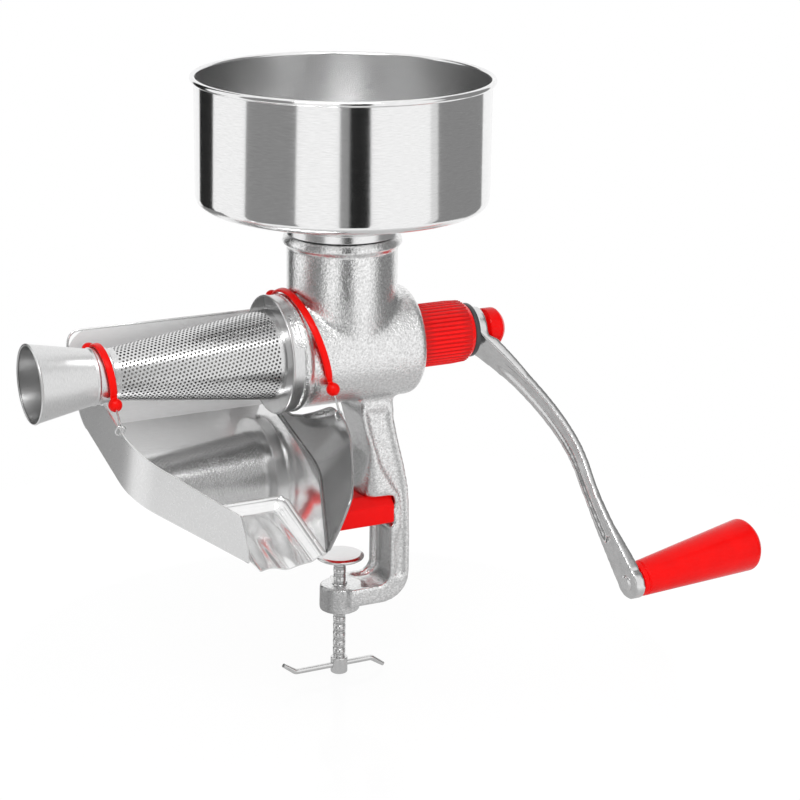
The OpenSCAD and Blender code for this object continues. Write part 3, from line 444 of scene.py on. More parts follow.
# %% Brushed and bright steel
def spun_steel(name, axis, shine, lines, depth, grey=0.80, inside=0.0, shade=1.0):
    """Steel that was polished while it turned about the Z axis, or about the crank's axis. What faces its own
    axis is darker by the shade: painted shade, as the inside sees little light. The bowl's inside is rougher."""
    made = Finish(name, (grey, grey, grey), shine, 1.0)
    x, y, z = made.axes()
    if axis == "X":
        x, z = z - SHAFT_H * MM, x
    angle = y.math("ARCTAN2", y, x)
    ring = made.join(angle.cos() * 0.02, angle.sin() * 0.02, z * 6.0)
    streak = made.noise(lines, 3.0, 0.6, place=ring)
    wide = made.noise(lines * 0.12, 2.0, 0.5, place=ring)
    colour = made.tint(streak.rise(0.3, 0.7), (grey - 0.08,) * 3, (grey + 0.08,) * 3)
    # painted shade: what faces the axis, the inside of ring, cone, funnel and strainer, is darkened by the
    # shade
    if shade < 1.0:
        facing = made.axes(made.add("ShaderNodeTexCoord", out="Normal"))
        outward = (facing[2 if axis == "X" else 0] * x + facing[1] * y).rise(-0.004, 0.014)
        colour = made.tint(outward, (grey * shade,) * 3, colour)
    made.feed("Base Color", colour)
    rough = streak * 0.08 + wide * 0.05 + (shine - 0.06)
    if inside:
        across = (x * x + y * y) ** 0.5
        sheet_middle = (BOWL_FOOT_OUT + BOWL_FOOT_IN) / 2 * MM
        above = z - BOWL_FOOT_Z * MM - (across - sheet_middle) * BOWL_SLOPE
        within = above.rise(-0.4 * MM, 0.4 * MM) * across.rise((BOWL_R - 0.3) * MM, (BOWL_R - 0.7) * MM)
        rough = rough + within * inside
    made.feed("Roughness", rough)
    made.bump(streak, 0.10, depth)
    return made.material

def rolled_sheet(name, shine, grey, metal, wave=0.5):
    """Sheet steel that was folded by hand, with a slow wave in it and faint marks."""
    made = Finish(name, (grey, grey, grey), shine, metal)
    slow = made.noise(22, 1.0, 0.4)
    scuff = made.noise(160, 4.0, 0.65, place=made.stretched(1.0, 5.0, 5.0))
    made.feed("Roughness", scuff.rise(0.35, 0.75) * 0.06 + (shine - 0.03))
    made.feed("Base Color", made.tint(scuff.rise(0.3, 0.8), (grey + 0.03,) * 3, (grey - 0.03,) * 3))
    made.bump(slow, 0.5, wave)
    return made.material

# %% [markdown]
# The crank is die cast and plated: smoother than the body, with a faint orange-peel skin. The clamp screw is
# turned steel with the same plating. The straps' wires are drawn and polished.

# %% Plated steel
def plated(name, grey, rough, patch, skin):
    """Plated steel, with lighter and darker patches and a skin that is more or less wavy."""
    made = Finish(name, (grey, grey, grey), rough, 1.0)
    mottled = made.noise(140, 3.0, 0.6)
    fine = made.noise(1200, 2.0, 0.5)
    made.feed("Base Color", made.tint(mottled.rise(0.3, 0.7), (grey - patch,) * 3, (grey + patch * 0.6,) * 3))
    made.feed("Roughness", mottled * 0.10 + fine * 0.06 + (rough - 0.08))
    made.bump(mottled * 0.6 + fine * 0.4, skin, 0.25)
    return made.material

# %% [markdown]
# The red parts are of two kinds. The grip, knob, collar and jaw pad are moulded in a hard plastic with a wet
# shine, and the straps are rubber with a duller one. A moulded skin is never perfectly even, so a slow noise
# changes the gloss a little, and a fine one gives the rubber its grain.

# %% Red plastic and red rubber
def moulded(name, colour, rough, coat, grain, depth, shine=0.5, groove_r=0.0):
    """Plastic or rubber. A groove radius, in millimetres round the crank's axis, paints shade into the grooves
    there.
    """
    made = Finish(name, colour, rough, 0.0, Coat_Weight=coat, Coat_Roughness=0.06)
    made.fix("Specular IOR Level", shine)
    slow = made.noise(60, 2.0, 0.5)
    fine = made.noise(grain, 2.0, 0.6)
    deep = tuple(v * 0.86 for v in colour)
    mixed = made.tint(slow.rise(0.3, 0.7) * 0.6 + fine * 0.4, deep, colour)
    # painted shade in the grooves between the collar's ribs
    if groove_r:
        x, y, z = made.axes()
        out = ((z - SHAFT_H * MM) ** 2.0 + y * y) ** 0.5
        below = out.rise((groove_r + 0.7) * MM, groove_r * MM)
        above = out.rise((groove_r - 0.3) * MM, (groove_r - 0.1) * MM)
        groove = below * above
        mixed = made.tint(groove, mixed, tuple(v * 0.58 for v in colour))
    made.feed("Base Color", mixed)
    made.feed("Roughness", slow * 0.08 + fine * 0.06 + (rough - 0.06))
    made.bump(fine, 0.2, depth)
    return made.material

# %% [markdown]
# The tray's sheets differ in the photograph: the left wall is satin, the leaning wall darker with painted
# shade, the back plate pale with painted light, and the floor nearly a mirror. Each of them has its own
# finish. The solids get theirs first, and the pieces that stand for them follow.

# %% One finish for each material slot, and a few more
finish_for = {
    "cast_tin": tinned_casting(),
    "brushed_bowl": spun_steel("bowl_steel", "Z", 0.10, 900, 0.02, grey=0.86, inside=0.10),
    "spun_filter": spun_steel("filter_steel", "X", 0.29, 500, 0.03, grey=0.74, shade=0.62),
    "spun_strainer": spun_steel("strainer_steel", "X", 0.20, 500, 0.03, grey=0.74, shade=0.06),
    # painted shade: the leaning wall's steel is made dark grey, as if in shade
    "dark_sheet": rolled_sheet("tray_shaded", 0.15, 0.37, 0.92),
    "mirror_sheet": rolled_sheet("tray_mirror", 0.11, 0.80, 0.90, wave=0.3),
    # painted light: the back plate's steel is made pale and less metallic, so it looks lit
    "pale_sheet": rolled_sheet("tray_pale", 0.36, 0.96, 0.30, wave=0.2),
    "sheet_steel": rolled_sheet("tray_steel", 0.14, 0.88, 0.82),
    "satin_sheet": rolled_sheet("tray_satin", 0.30, 0.80, 0.85, wave=0.2),
    "satin_zinc": plated("plated_crank", 0.74, 0.20, patch=0.08, skin=0.2),
    "zinc_steel": plated("plated_screw", 0.78, 0.24, patch=0.03, skin=0.03),
    "bright_wire": plated("drawn_wire", 0.80, 0.14, patch=0.04, skin=0.05),
    "red_gloss": moulded("red_plastic", (0.86, 0.0, 0.0), 0.20, 0.0, 500, 0.02, 0.18),
    "red_collar": moulded("red_collar", (0.96, 0.0, 0.0), 0.13, 0.0, 500, 0.02, 0.26, groove_r=23.1),
    "red_rubber": moulded("red_rubber", (0.84, 0.002, 0.0), 0.30, 0.0, 900, 0.04, 0.16),
    "dark_rubber": moulded("dark_rubber", (0.035, 0.035, 0.037), 0.55, 0.0, 900, 0.05),
    "black_plastic": moulded("dark_washer", (0.045, 0.047, 0.050), 0.34, 0.1, 700, 0.03),
    "white_nylon": moulded("white_nylon", (0.80, 0.79, 0.76), 0.42, 0.0, 500, 0.04),
}
slot_of_node = {row["node"]: row["material_slot"] for row in frame["record"]["subparts"]}
for name, solid in nodes.items():
    solid.data.materials.clear()
    solid.data.materials.append(finish_for[slot_of_node[name]])
for name in ("filter_ring", "filter_cone", "outlet_funnel"):
    nodes[name].data.materials[0] = finish_for["spun_filter"]
print("finishes:", len(finish_for), "on", len(nodes), "solids")

# %% [markdown]
# ## Tools for making pieces
# Most of this press was turned or spun, so the main tool is a lathe: an outline of radius and height, closed
# on itself, is carried round an axis. Real edges are never sharp, so a second tool rounds the corners of an
# outline before it is turned. The outlines are written in millimetres, like a drawing.

# %% Rounded outlines
def rounded(points, radius, steps=4, closed=True):
    """An outline with a small arc at each corner. A point may carry its own radius as a third number."""
    made = []
    count = len(points)
    for i, point in enumerate(points):
        here = Vector(point[:2])
        size = point[2] if len(point) > 2 else radius
        if size <= 0 or (not closed and i in (0, count - 1)):
            made.append(tuple(here))
            continue
        before, after = Vector(points[i - 1][:2]), Vector(points[(i + 1) % count][:2])
        back, on = before - here, after - here
        turn = back.angle(on)
        reach = min(size / tan(turn / 2) if turn < 3.1 else 0.0, back.length * 0.49, on.length * 0.49)
        start, end = here + back.normalized() * reach, here + on.normalized() * reach
        for step in range(steps + 1):
            t = step / steps
            made.append(tuple(start * (1 - t) ** 2 + here * 2 * t * (1 - t) + end * t * t))
    return made

# %% Joining a piece to the frame
def fit(piece, body, slot, replaced=(), material=None):
    """Gives a piece its finish, lets it ride on a body, and hides the solids that it stands for."""
    piece.data.materials.clear()
    piece.data.materials.append(material or finish_for[slot])
    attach(piece, body)
    if replaced:
        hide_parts(*replaced)
    print(f"{piece.name}: {len(piece.data.polygons)} faces")
    return piece

def smoothed(piece, angle=35):
    """Smooths all edges but those that bend by more than an angle."""
    piece.data.shade_smooth()
    piece.data.set_sharp_from_angle(angle=radians(angle))
    return piece

def outwards(piece, merge=0.001, angle=35):
    """Merges doubles, turns every face outwards and smooths all but the sharp edges."""
    work = bmesh.new()
    work.from_mesh(piece.data)
    bmesh.ops.remove_doubles(work, verts=work.verts, dist=merge * MM)
    bmesh.ops.dissolve_degenerate(work, edges=work.edges, dist=merge * MM)
    bmesh.ops.recalc_face_normals(work, faces=work.faces)
    work.to_mesh(piece.data)
    work.free()
    return smoothed(piece, angle)

# %% The lathe
def turned_piece(name, outline, place, segments=160, angle=35):
    """A closed outline of (radius, height) turned round the local Z axis and put in place."""
    points, faces = [], []
    count = len(outline)
    for i in range(segments):
        spin = 2 * pi * i / segments
        points += [place @ Vector((r * cos(spin), r * sin(spin), h)) for r, h in outline]
    for i in range(segments):
        here, after = i * count, (i + 1) % segments * count
        for j in range(count):
            k = (j + 1) % count
            faces.append((here + j, after + j, after + k, here + k))
    return outwards(plain_mesh(name, points, faces), angle=angle)

# %% A rod or band along a path
def swept_piece(name, path, section, upward, angle=35):
    """Carries a closed section along a path. The section may be a function of how far along it is, from 0 to
    1, and upward gives the direction that the section's second axis keeps to, at each point."""
    path = [Vector(p) for p in path]
    lengths = np.cumsum([0.0] + [(b - a).length for a, b in zip(path, path[1:])])
    points, faces = [], []
    for i, here in enumerate(path):
        along = (path[min(i + 1, len(path) - 1)] - path[max(i - 1, 0)]).normalized()
        up = Vector(upward(i, here)) if callable(upward) else Vector(upward)
        side = along.cross(up).normalized()
        up = side.cross(along)
        shape = section(lengths[i] / lengths[-1]) if callable(section) else section
        points += [here + side * a + up * b for a, b in shape]
    count = len(points) // len(path)
    for i in range(len(path) - 1):
        for j in range(count):
            k = (j + 1) % count
            faces.append((i * count + j, i * count + k, (i + 1) * count + k, (i + 1) * count + j))
    faces.append(tuple(range(count)))
    faces.append(tuple(range((len(path) - 1) * count, len(path) * count)))
    return outwards(plain_mesh(name, points, faces), angle=angle)

def round_section(radius, sides=16, flat=1.0):
    """A circle, or an ellipse where flat is less than 1."""
    return [(radius * cos(2 * pi * i / sides), radius * flat * sin(2 * pi * i / sides)) for i in range(sides)]

# %% A soft skin over several solids
def merged_copy(name, solids, more=()):
    """One mesh from copies of CAD solids, with their loose triangles joined up, and from pieces made for it."""
    work = bmesh.new()
    for solid in solids:
        work.from_mesh(nodes[solid].data)
    for piece in more:
        work.from_mesh(piece.data)
        bpy.data.objects.remove(piece)
    bmesh.ops.remove_doubles(work, verts=work.verts, dist=0.002 * MM)
    mesh = bpy.data.meshes.new(name)
    work.to_mesh(mesh)
    work.free()
    made = bpy.data.objects.new(name, mesh)
    bpy.context.scene.collection.objects.link(made)
    return made

def reskinned(piece, voxel):
    """Replaces a piece's surface by an even net of small faces, which runs smoothly over every joint."""
    change = piece.modifiers.new("skin", "REMESH")
    change.mode, change.voxel_size, change.use_smooth_shade = "VOXEL", voxel * MM, True
    return applied(piece)

def applied(piece):
    """Makes a piece's modifiers part of its mesh."""
    mesh = bpy.data.meshes.new_from_object(piece.evaluated_get(bpy.context.evaluated_depsgraph_get()))
    piece.modifiers.clear()
    old, piece.data = piece.data, mesh
    bpy.data.meshes.remove(old)
    mesh.name = piece.name
    return piece

def joined(name, pieces):
    """One object from several, all at the origin."""
    work = bmesh.new()
    for piece in pieces:
        work.from_mesh(piece.data)
        bpy.data.objects.remove(piece)
    made = plain_mesh(name, [(0, 0, 0)], [])
    work.to_mesh(made.data)
    work.free()
    return made

def places(piece):
    """Where a piece's points are, in millimetres, one row for each."""
    return np.array([v.co for v in piece.data.vertices]) / MM

def put_back(piece, place):
    """Moves a piece's points to places in millimetres."""
    piece.data.vertices.foreach_set("co", (place * MM).ravel())

def evenly(weight):
    """The same weight for every point."""
    return lambda place: np.full(len(place), weight)

def relaxed(piece, weight, rounds):
    """Smooths a net by moving each point towards its neighbours' middle, as far as its weight allows."""
    count = len(piece.data.vertices)
    place = np.zeros(count * 3)
    piece.data.vertices.foreach_get("co", place)
    place = place.reshape(-1, 3)
    ends = np.zeros(len(piece.data.edges) * 2, dtype=int)
    piece.data.edges.foreach_get("vertices", ends)
    ends = ends.reshape(-1, 2)
    pull = np.clip(weight(place / MM), 0, 1)[:, None]
    share = np.maximum(np.bincount(ends.ravel(), minlength=count), 1)[:, None]
    for _ in range(rounds):
        total = np.zeros_like(place)
        for axis in range(3):
            total[:, axis] = (np.bincount(ends[:, 0], place[ends[:, 1], axis], count)
                + np.bincount(ends[:, 1], place[ends[:, 0], axis], count))
        place = place + (total / share - place) * pull
    piece.data.vertices.foreach_set("co", place.ravel())
    piece.data.update()
    piece.data.shade_smooth()
    return piece

print("tools are ready")

# %% [markdown]
# ## The hopper
# The bowl is spun from one disc of steel over a form, so it has one wall thickness everywhere, a soft fillet
# between cone and wall, and an edge that is rolled over a wire. A lathe outline follows it exactly: up the
# outside, round the bead, and back down the inside.

# %% The spun bowl
BEAD_R, BEAD_Z = 2.1, 336.6
SPIGOT_R, SPIGOT_LOW, NECK_OUT, NECK_LOW, NECK_TOP = 35.7, 201, 41.8, 224.9, 230.5
BOWL_IN, NECK_IN, SPIGOT_IN = BOWL_R - BOWL_SHEET, NECK_OUT - BOWL_SHEET, SPIGOT_R - BOWL_SHEET
outside_corner = BOWL_FOOT_Z + (BOWL_R - BOWL_FOOT_OUT) * BOWL_SLOPE
inside_corner = BOWL_FOOT_Z + (BOWL_IN - BOWL_FOOT_IN) * BOWL_SLOPE
bead_middle = BOWL_IN + BEAD_R
bead = [(bead_middle + BEAD_R * cos(radians(a)), BEAD_Z + BEAD_R * sin(radians(a)))
    for a in range(-120, 181, 12)]
outer = rounded([(SPIGOT_R, SPIGOT_LOW), (SPIGOT_R, NECK_LOW, 0.8), (NECK_OUT, NECK_LOW, 0.6),
    (NECK_OUT, NECK_TOP, 0.8), (BOWL_R, outside_corner, 9), (BOWL_R, BEAD_Z - 2.0)], 0, steps=8, closed=False)
inner = rounded([(BOWL_IN, BEAD_Z - 0.2), (BOWL_IN, inside_corner, 8), (NECK_IN, NECK_TOP + 0.9, 0.8),
    (NECK_IN, NECK_LOW + BOWL_SHEET, 0.6), (SPIGOT_IN, NECK_LOW + BOWL_SHEET, 0.8), (SPIGOT_IN, SPIGOT_LOW)],
    0, steps=8, closed=False)
bowl = turned_piece("hopper_bowl_spun", outer + bead + inner, UPRIGHT, segments=256)
fit(bowl, "hopper", "brushed_bowl", ["hopper_bowl", "hopper_spigot"])

# %% [markdown]
# ## The casting
# Barrel, throat and clamp frame are one casting on the real press, but they are three solids in the CAD
# model. Their meshes are copied, joined and covered with one new skin of small faces, a voxel remesh. That
# welds them and rounds every edge a little, as a sand mould does. Then the skin is relaxed where two forms
# meet, which draws a fillet there, and the broad faces of the frame are sunk a little so that a rounded rib
# is left along their edges.

# %% One skin over three solids
def inside_depth(x, z, outline):
    """How far points lie inside a closed outline, negative outside."""
    ends = np.array(outline, float)
    depth = np.full(len(x), 1e9)
    within = np.zeros(len(x), bool)
    for (x0, z0), (x1, z1) in zip(ends, np.roll(ends, -1, axis=0)):
        dx, dz = x1 - x0, z1 - z0
        t = np.clip(((x - x0) * dx + (z - z0) * dz) / (dx * dx + dz * dz), 0, 1)
        depth = np.minimum(depth, np.hypot(x - x0 - t * dx, z - z0 - t * dz))
        if z1 != z0:
            within ^= ((z0 > z) != (z1 > z)) & (x < x0 + (z - z0) * dx / dz)
    return np.where(within, depth, -depth)

def stacked(name, levels):
    """A closed solid through outlines of equally many points, one above the other."""
    count = len(levels[0])
    points = [p for level in levels for p in level]
    faces = [(i * count + j, i * count + (j + 1) % count, (i + 1) * count + (j + 1) % count,
        (i + 1) * count + j) for i in range(len(levels) - 1) for j in range(count)]
    faces += [range(count), range((len(levels) - 1) * count, len(levels) * count)]
    return outwards(plain_mesh(name, points, faces))

def slab(left, right, half, height, corner):
    """A rectangle in plan, with its two left corners rounded."""
    return [(x, y, height) for x, y in rounded([(left, -half, corner), (right, -half, 0.2), (right, half, 0.2),
        (left, half, corner)], 0)]

def tucked_in(piece, share=0.97):
    """Moves the points where throat and frame only touch the barrel a little way into it, so that one skin
    welds them."""
    place = places(piece)
    x, y, z = place.T
    touches = abs(np.hypot(y, z - SHAFT_H) - BARREL_R) < 0.05
    throat = (abs(x) < THROAT_R + 0.1) & (np.hypot(x, y) < THROAT_R + 0.2)
    leg = (z < SHAFT_H) & (abs(y) < LEG_HALF + 0.1) & (x > LEG_LEFT - 1) & (x < LEG_RIGHT + 1)
    moved = touches & (throat | leg)
    place[moved, 1] *= share
    place[moved, 2] = SHAFT_H + (place[moved, 2] - SHAFT_H) * share
    put_back(piece, place)
    return piece

STEM_IN, ARM_TOP, BOW = 33.4, -50.0, 9.0
LIP_IN, LIP_LOW, LIP_TOP = 36.2, 214, 224.4
LEG_LEVELS = [(12.6, 36, 18.3, 21.0, 14.5), (12.6, 36, 18.4, 24, 14.0), (13.4, 36, 18.7, 32, 11.5),
    (14.6, 36, 18.9, 44, 7.5), (15.6, 36, 19.0, 56, 4), (14.5, 34, 19.0, 66, 2)]
flare = stacked("leg_flare", [slab(*level) for level in LEG_LEVELS])
filler = stacked("stem_filler", [slab(STEM_IN, 40, 17, height, 0.2) for height in (-43, -3)])
lip = turned_piece("throat_lip", rounded([(LIP_IN, LIP_LOW), (40.2, LIP_LOW), (THROAT_R, 216.2),
    (42.6, 217.6, 1.2), (43.8, 219.6, 1.6), (42.4, 223.0, 2.0), (40.2, LIP_TOP, 1.2), (LIP_IN, LIP_TOP)], 0.3,
    steps=5), UPRIGHT, segments=120)
casting = merged_copy("casting", ["body_barrel", "body_throat", "clamp_frame"], [flare, filler, lip])
reskinned(tucked_in(casting), 1.25)
print("casting skin:", len(casting.data.polygons), "faces")

# %% Fillets and sunk faces
FRAME_SIDE = [(LEG_LEFT, SHAFT_H), (LEG_LEFT, 88.5), (11.5, 72.5), (15.5, 58.5), (20.5, 44.2), (28.5, 31),
    (35.5, 20), (37.5, 8), (37, -4), (STEM_IN, -14), (STEM_IN, -41), (30.8, -47.4), (24.4, ARM_TOP),
    (0, ARM_TOP), (0, -64), (28, -64), (43.6, -57.6), (50, -42), (50, -10), (48.5, 24.2), (44.5, 44.2),
    (39, 65.5), (LEG_RIGHT, 83.5), (LEG_RIGHT, SHAFT_H)]

def junction_weight(place):
    """0.7 on the lines where throat, frame and boss meet the barrel, falling to 0 a few millimetres away."""
    far = 99
    x, y, z = place.T
    on_barrel = np.hypot(y, z - SHAFT_H) - BARREL_R
    on_throat = np.hypot(x, y) - THROAT_R
    throat = np.exp(-(on_barrel ** 2 + on_throat ** 2) / 30) * (z > SHAFT_H + 5)
    beside = np.where((x > LEG_LEFT - 2) & (x < LEG_RIGHT + 2), abs(y) - LEG_HALF, far)
    ends = np.where(abs(y) < LEG_HALF + 2, np.minimum(abs(x - LEG_LEFT), abs(x - LEG_RIGHT)), far)
    frame_edge = np.minimum(abs(beside), abs(ends))
    frame = np.exp(-(on_barrel ** 2 + frame_edge ** 2) / 45) * (z < SHAFT_H - 20)
    boss = np.exp(-((np.hypot(y, z - SHAFT_H) - 18) ** 2 + (x - 52) ** 2) / 18)
    pan = np.exp(-((np.hypot(x, y) - 15.4) ** 2 + (z + 57) ** 2) / 40)
    leg = (z > 18) & (z < 70) & (x < 34) & (abs(y) > 8)
    return np.clip(throat + frame + boss + pan + leg * 0.8, 0, 1) * 0.7

def soft(value):
    """0 below 0, 1 above 1, and a smooth rise between."""
    value = np.clip(value, 0, 1)
    return value * value * (3 - 2 * value)

def sink_inner_face(piece, depth):
    """Hollows the inner face of the C, between a rib at each side, round the corner into the lower arm."""
    place = places(piece)
    x, y, z = place.T.copy()
    across = soft((15.6 - abs(y)) / 3.2)
    stem = (abs(x - STEM_IN) < 1.3) & (z > ARM_TOP + BOW) & (z < -5)
    place[:, 0] += depth * across * stem * soft((-6 - z) / 5)
    out = np.hypot(x - STEM_IN + BOW, z - ARM_TOP - BOW)
    corner = (abs(out - BOW) < 1.3) & (x > STEM_IN - BOW) & (z <= ARM_TOP + BOW)
    share = np.clip((x - STEM_IN + BOW) / BOW, 0, 1)
    push = (depth * share + 3.2 * (1 - share)) * across * corner
    place[:, 0] += push * (x - STEM_IN + BOW) / out
    place[:, 2] += push * (z - ARM_TOP - BOW) / out
    arm = (abs(z - ARM_TOP) < 1.3) & (x <= STEM_IN - BOW) & (x > 10)
    place[:, 2] -= 3.2 * across * arm * soft((np.hypot(x, y) - 16.5) / 5)
    put_back(piece, place)

def sink_frame_faces(piece, depth, rib):
    """Sinks the frame's two broad sides, but for a rib along their outline and a strip below the barrel."""
    place = places(piece)
    inside = inside_depth(place[:, 0], place[:, 2], FRAME_SIDE)
    clear = np.hypot(place[:, 1], place[:, 2] - SHAFT_H) - BARREL_R
    ramp = np.clip(np.minimum((inside - rib) / 2.5, (clear - 7) / 6), 0, 1)
    ramp *= np.clip((abs(place[:, 1]) - 16) / 2, 0, 1) * (place[:, 2] > -44)
    place[:, 1] -= np.sign(place[:, 1]) * depth * ramp * ramp * (3 - 2 * ramp)
    put_back(piece, place)

relaxed(casting, junction_weight, 12)
sink_frame_faces(casting, 1.7, 3.4)
sink_inner_face(casting, 5.0)
reskinned(casting, 1.22)
relaxed(casting, evenly(0.5), 2)
fit(casting, "press", "cast_tin", ["body_barrel", "body_throat", "clamp_frame"])

# %% [markdown]
# ## The filter
# The strainer starts as a flat sheet with round holes in a honeycomb, which is then rolled into a cone.
# Geometry Nodes repeat that: points on a honeycomb, one small cell with a real hole on each point, then the
# whole flat sheet is rolled by moving every vertex. Each cell is a twelve-sided tube whose four rings are
# pushed to the outline of a hexagon, to the hole's edge, through the sheet to the hole's back edge, and out
# to the hexagon again, so the holes have walls. Cells that would cross the ends or the seam are left out,
# and plain bands cover their ragged edge.

# %% Trees that grow a mesh
class Grower(Graph):
    """A Geometry Nodes tree that makes a mesh. Its sizes are sockets that a modifier sets."""

    def __init__(self, name, lengths, counts=()):
        super().__init__(bpy.data.node_groups.new(name, "GeometryNodeTree"))
        kinds = [(size, "Int") for size in counts] + [(size, "Float") for size in lengths]
        for size, kind in kinds + [("Material", "Material")]:
            self.tree.interface.new_socket(size, in_out="INPUT", socket_type="NodeSocket" + kind)
        self.tree.interface.new_socket("Geometry", in_out="OUTPUT", socket_type="NodeSocketGeometry")
        self.size = {s.name: Num(self.tree, s) for s in self.add("NodeGroupInput").socket.node.outputs}

    def point(self):
        """The x, y and z of each point."""
        return self.axes(self.add("GeometryNodeInputPosition"))

    def moved(self, geometry, x, y, z):
        """Geometry with each point moved to a new place."""
        return self.add("GeometryNodeSetPosition", None, {"Geometry": geometry, "Position": self.join(x, y, z)})

    def real(self, geometry):
        """Real mesh in place of copies."""
        return self.add("GeometryNodeRealizeInstances", None, {"Geometry": geometry})

    def finished(self, geometry):
        """Gives the geometry its finish and hands over the tree."""
        done = self.add("GeometryNodeSetMaterial", None, {"Geometry": self.real(geometry),
            "Material": self.size["Material"]})
        self.tree.links.new(done.socket, self.tree.nodes.new("NodeGroupOutput").inputs["Geometry"])
        return self.tree

def grown(name, tree, **sizes):
    """A plain mesh that a node tree makes. Each input is set by its identifier before the first evaluation."""
    made = plain_mesh(name, [(0, 0, 0)], [])
    change = made.modifiers.new("grow", "NODES")
    change.node_group = tree
    for item in tree.interface.items_tree:
        if item.in_out == "INPUT" and item.name.replace(" ", "_") in sizes:
            change[item.identifier] = sizes[item.name.replace(" ", "_")]
    return applied(made)

print("node trees can grow meshes")

# %% A tree that punches and rolls a sheet
def punched_cone_tree():
    names = ("Pitch", "Hole radius", "Thickness", "Near edge", "Far edge", "Half angle", "Lattice turn",
        "Cone share", "Centre line")
    graph = Grower("punched_cone", names)
    pitch, hole, thick, near, far, half, turn, share, centre = (graph.size[name] for name in names)

    # The honeycomb of points, turned and cut to the sheet's outline
    columns = (far / pitch * 1.2).math("CEIL", far / pitch * 1.2)
    rows = (far / pitch * 1.9).math("CEIL", far / pitch * 1.9)
    index = graph.add("GeometryNodeInputIndex")
    row = (index / columns).math("FLOOR", (index + 0.5) / columns)
    column = index - row * columns
    odd = row - (row / 2).math("FLOOR", row / 2) * 2
    x = (column + odd * 0.5) * pitch
    y = (row - rows * 0.5) * pitch * (sqrt(3) / 2)
    across, along = x * turn.cos() - y * turn.sin(), x * turn.sin() + y * turn.cos()
    points = graph.add("GeometryNodePoints", None, {"Count": columns * rows,
        "Position": graph.join(across, along, 0.0)})
    px, py, _ = graph.point()
    distance = (px * px + py * py) ** 0.5
    swing = py.math("ARCTAN2", py, px)
    swing = swing.math("ABSOLUTE", swing)
    outside = (distance.math("LESS_THAN", distance, near) + distance.math("GREATER_THAN", distance, far)
        + swing.math("GREATER_THAN", swing, half - pitch * 0.8 / near))
    kept = graph.add("GeometryNodeDeleteGeometry", {"domain": "POINT"},
        {"Geometry": points, "Selection": outside})

    # One cell: a tube whose rings become a hexagon with a hole
    tube = graph.add("GeometryNodeMeshCone", {"fill_type": "NONE"}, {"Vertices": 12, "Side Segments": 3,
        "Radius Top": 1.0, "Radius Bottom": 1.0, "Depth": 3.0})
    cx, cy, cz = graph.point()
    around = cy.math("ARCTAN2", cy, cx)
    sixth = pi / 3
    off = around - (around / sixth).math("ROUND", around / sixth) * sixth
    middle = (cz - 1.5).math("ABSOLUTE", cz - 1.5)
    inner_ring = middle.math("LESS_THAN", middle, 1.0)
    radius = inner_ring * hole + (1 - inner_ring) * (pitch * 0.5 / off.cos())
    drop = cz.math("GREATER_THAN", cz, 1.5) * thick * -1
    cell = graph.moved(tube, around.cos() * radius, around.sin() * radius, drop)

    # A cell on every point, turned with the honeycomb, then welded to its neighbours
    cells = graph.add("GeometryNodeInstanceOnPoints", None, {"Points": kept, "Instance": cell,
        "Rotation": graph.join(0.0, 0.0, turn)})
    sheet = graph.add("GeometryNodeMergeByDistance", None, {"Geometry": graph.real(cells),
        "Distance": pitch * 0.02})

    # Roll the flat sheet round the crank's axis
    fx, fy, fz = graph.point()
    level = (1 - share * share) ** 0.5
    slant = (fx * fx + fy * fy) ** 0.5
    spin = fy.math("ARCTAN2", fy, fx) / share + centre
    radius = slant * share + fz * level
    rolled = graph.moved(sheet, slant * level - fz * share, radius * spin.sin(), radius * spin.cos())
    return graph.finished(rolled)

narrowing = (CONE_WIDE - CONE_NARROW) / CONE_LEN
cone_share = sin(atan2(CONE_WIDE - CONE_NARROW, CONE_LEN))
EDGE_GAP = 2.6
strainer = grown("strainer", punched_cone_tree(), Pitch=2.98 * MM, Hole_radius=0.88 * MM,
    Thickness=FILTER_SHEET * MM, Near_edge=(CONE_NARROW / cone_share + EDGE_GAP) * MM,
    Far_edge=(CONE_WIDE / cone_share - EDGE_GAP) * MM, Half_angle=pi * cone_share, Lattice_turn=radians(9.6),
    Cone_share=cone_share, Centre_line=radians(-60), Material=finish_for["spun_strainer"])
apex = -CONE_TIP - CONE_NARROW / narrowing
strainer.data.transform(Matrix.Translation(Vector((apex, 0, SHAFT_H)) * MM))
print("strainer:", len(strainer.data.polygons), "faces")

# %% Bands and seam of the strainer
TO_TIP = ON_CRANK @ Matrix.Rotation(pi, 4, "X")
PROUD = 0.03

def cone_radius(along):
    """The cone's outer radius at a distance from its wide end."""
    return CONE_WIDE - narrowing * along

def cone_band(name, start, end):
    """A plain band of the cone between two distances from its wide end."""
    wide, narrow, thick = cone_radius(start), cone_radius(end), FILTER_SHEET + PROUD
    return turned_piece(name, [(wide + PROUD, RING_FACE + start), (narrow + PROUD, RING_FACE + end),
        (narrow - thick, RING_FACE + end), (wide - thick, RING_FACE + start)], TO_TIP)

def seam_strip(name, width, centre, steps=24):
    """The plain strip where the rolled sheet is welded, as a bar of four edges along the cone."""
    points = []
    for step in range(steps + 1):
        along = CONE_LEN * step / steps
        for side in (-0.5, 0.5):
            for lift in (PROUD, -FILTER_SHEET - PROUD):
                r = cone_radius(along) + lift
                spin = centre + side * width / r
                points.append((-RING_FACE - along, r * sin(spin), SHAFT_H + r * cos(spin)))
    last = 4 * steps
    faces = [(0, 1, 3, 2), (last, last + 2, last + 3, last + 1)]
    for at in range(0, last, 4):
        faces += [(at, at + 4, at + 5, at + 1), (at + 2, at + 3, at + 7, at + 6), (at, at + 2, at + 6, at + 4),
            (at + 1, at + 5, at + 7, at + 3)]
    return outwards(plain_mesh(name, points, faces))

bands = [cone_band("band_wide", 0, 4.6), cone_band("band_narrow", CONE_LEN - 4.4, CONE_LEN),
    seam_strip("seam", 6.5, radians(120))]
strainer = smoothed(joined("strainer", [strainer] + bands))
fit(strainer, "filter", "sheet_steel", ["filter_cone"], finish_for["spun_strainer"])

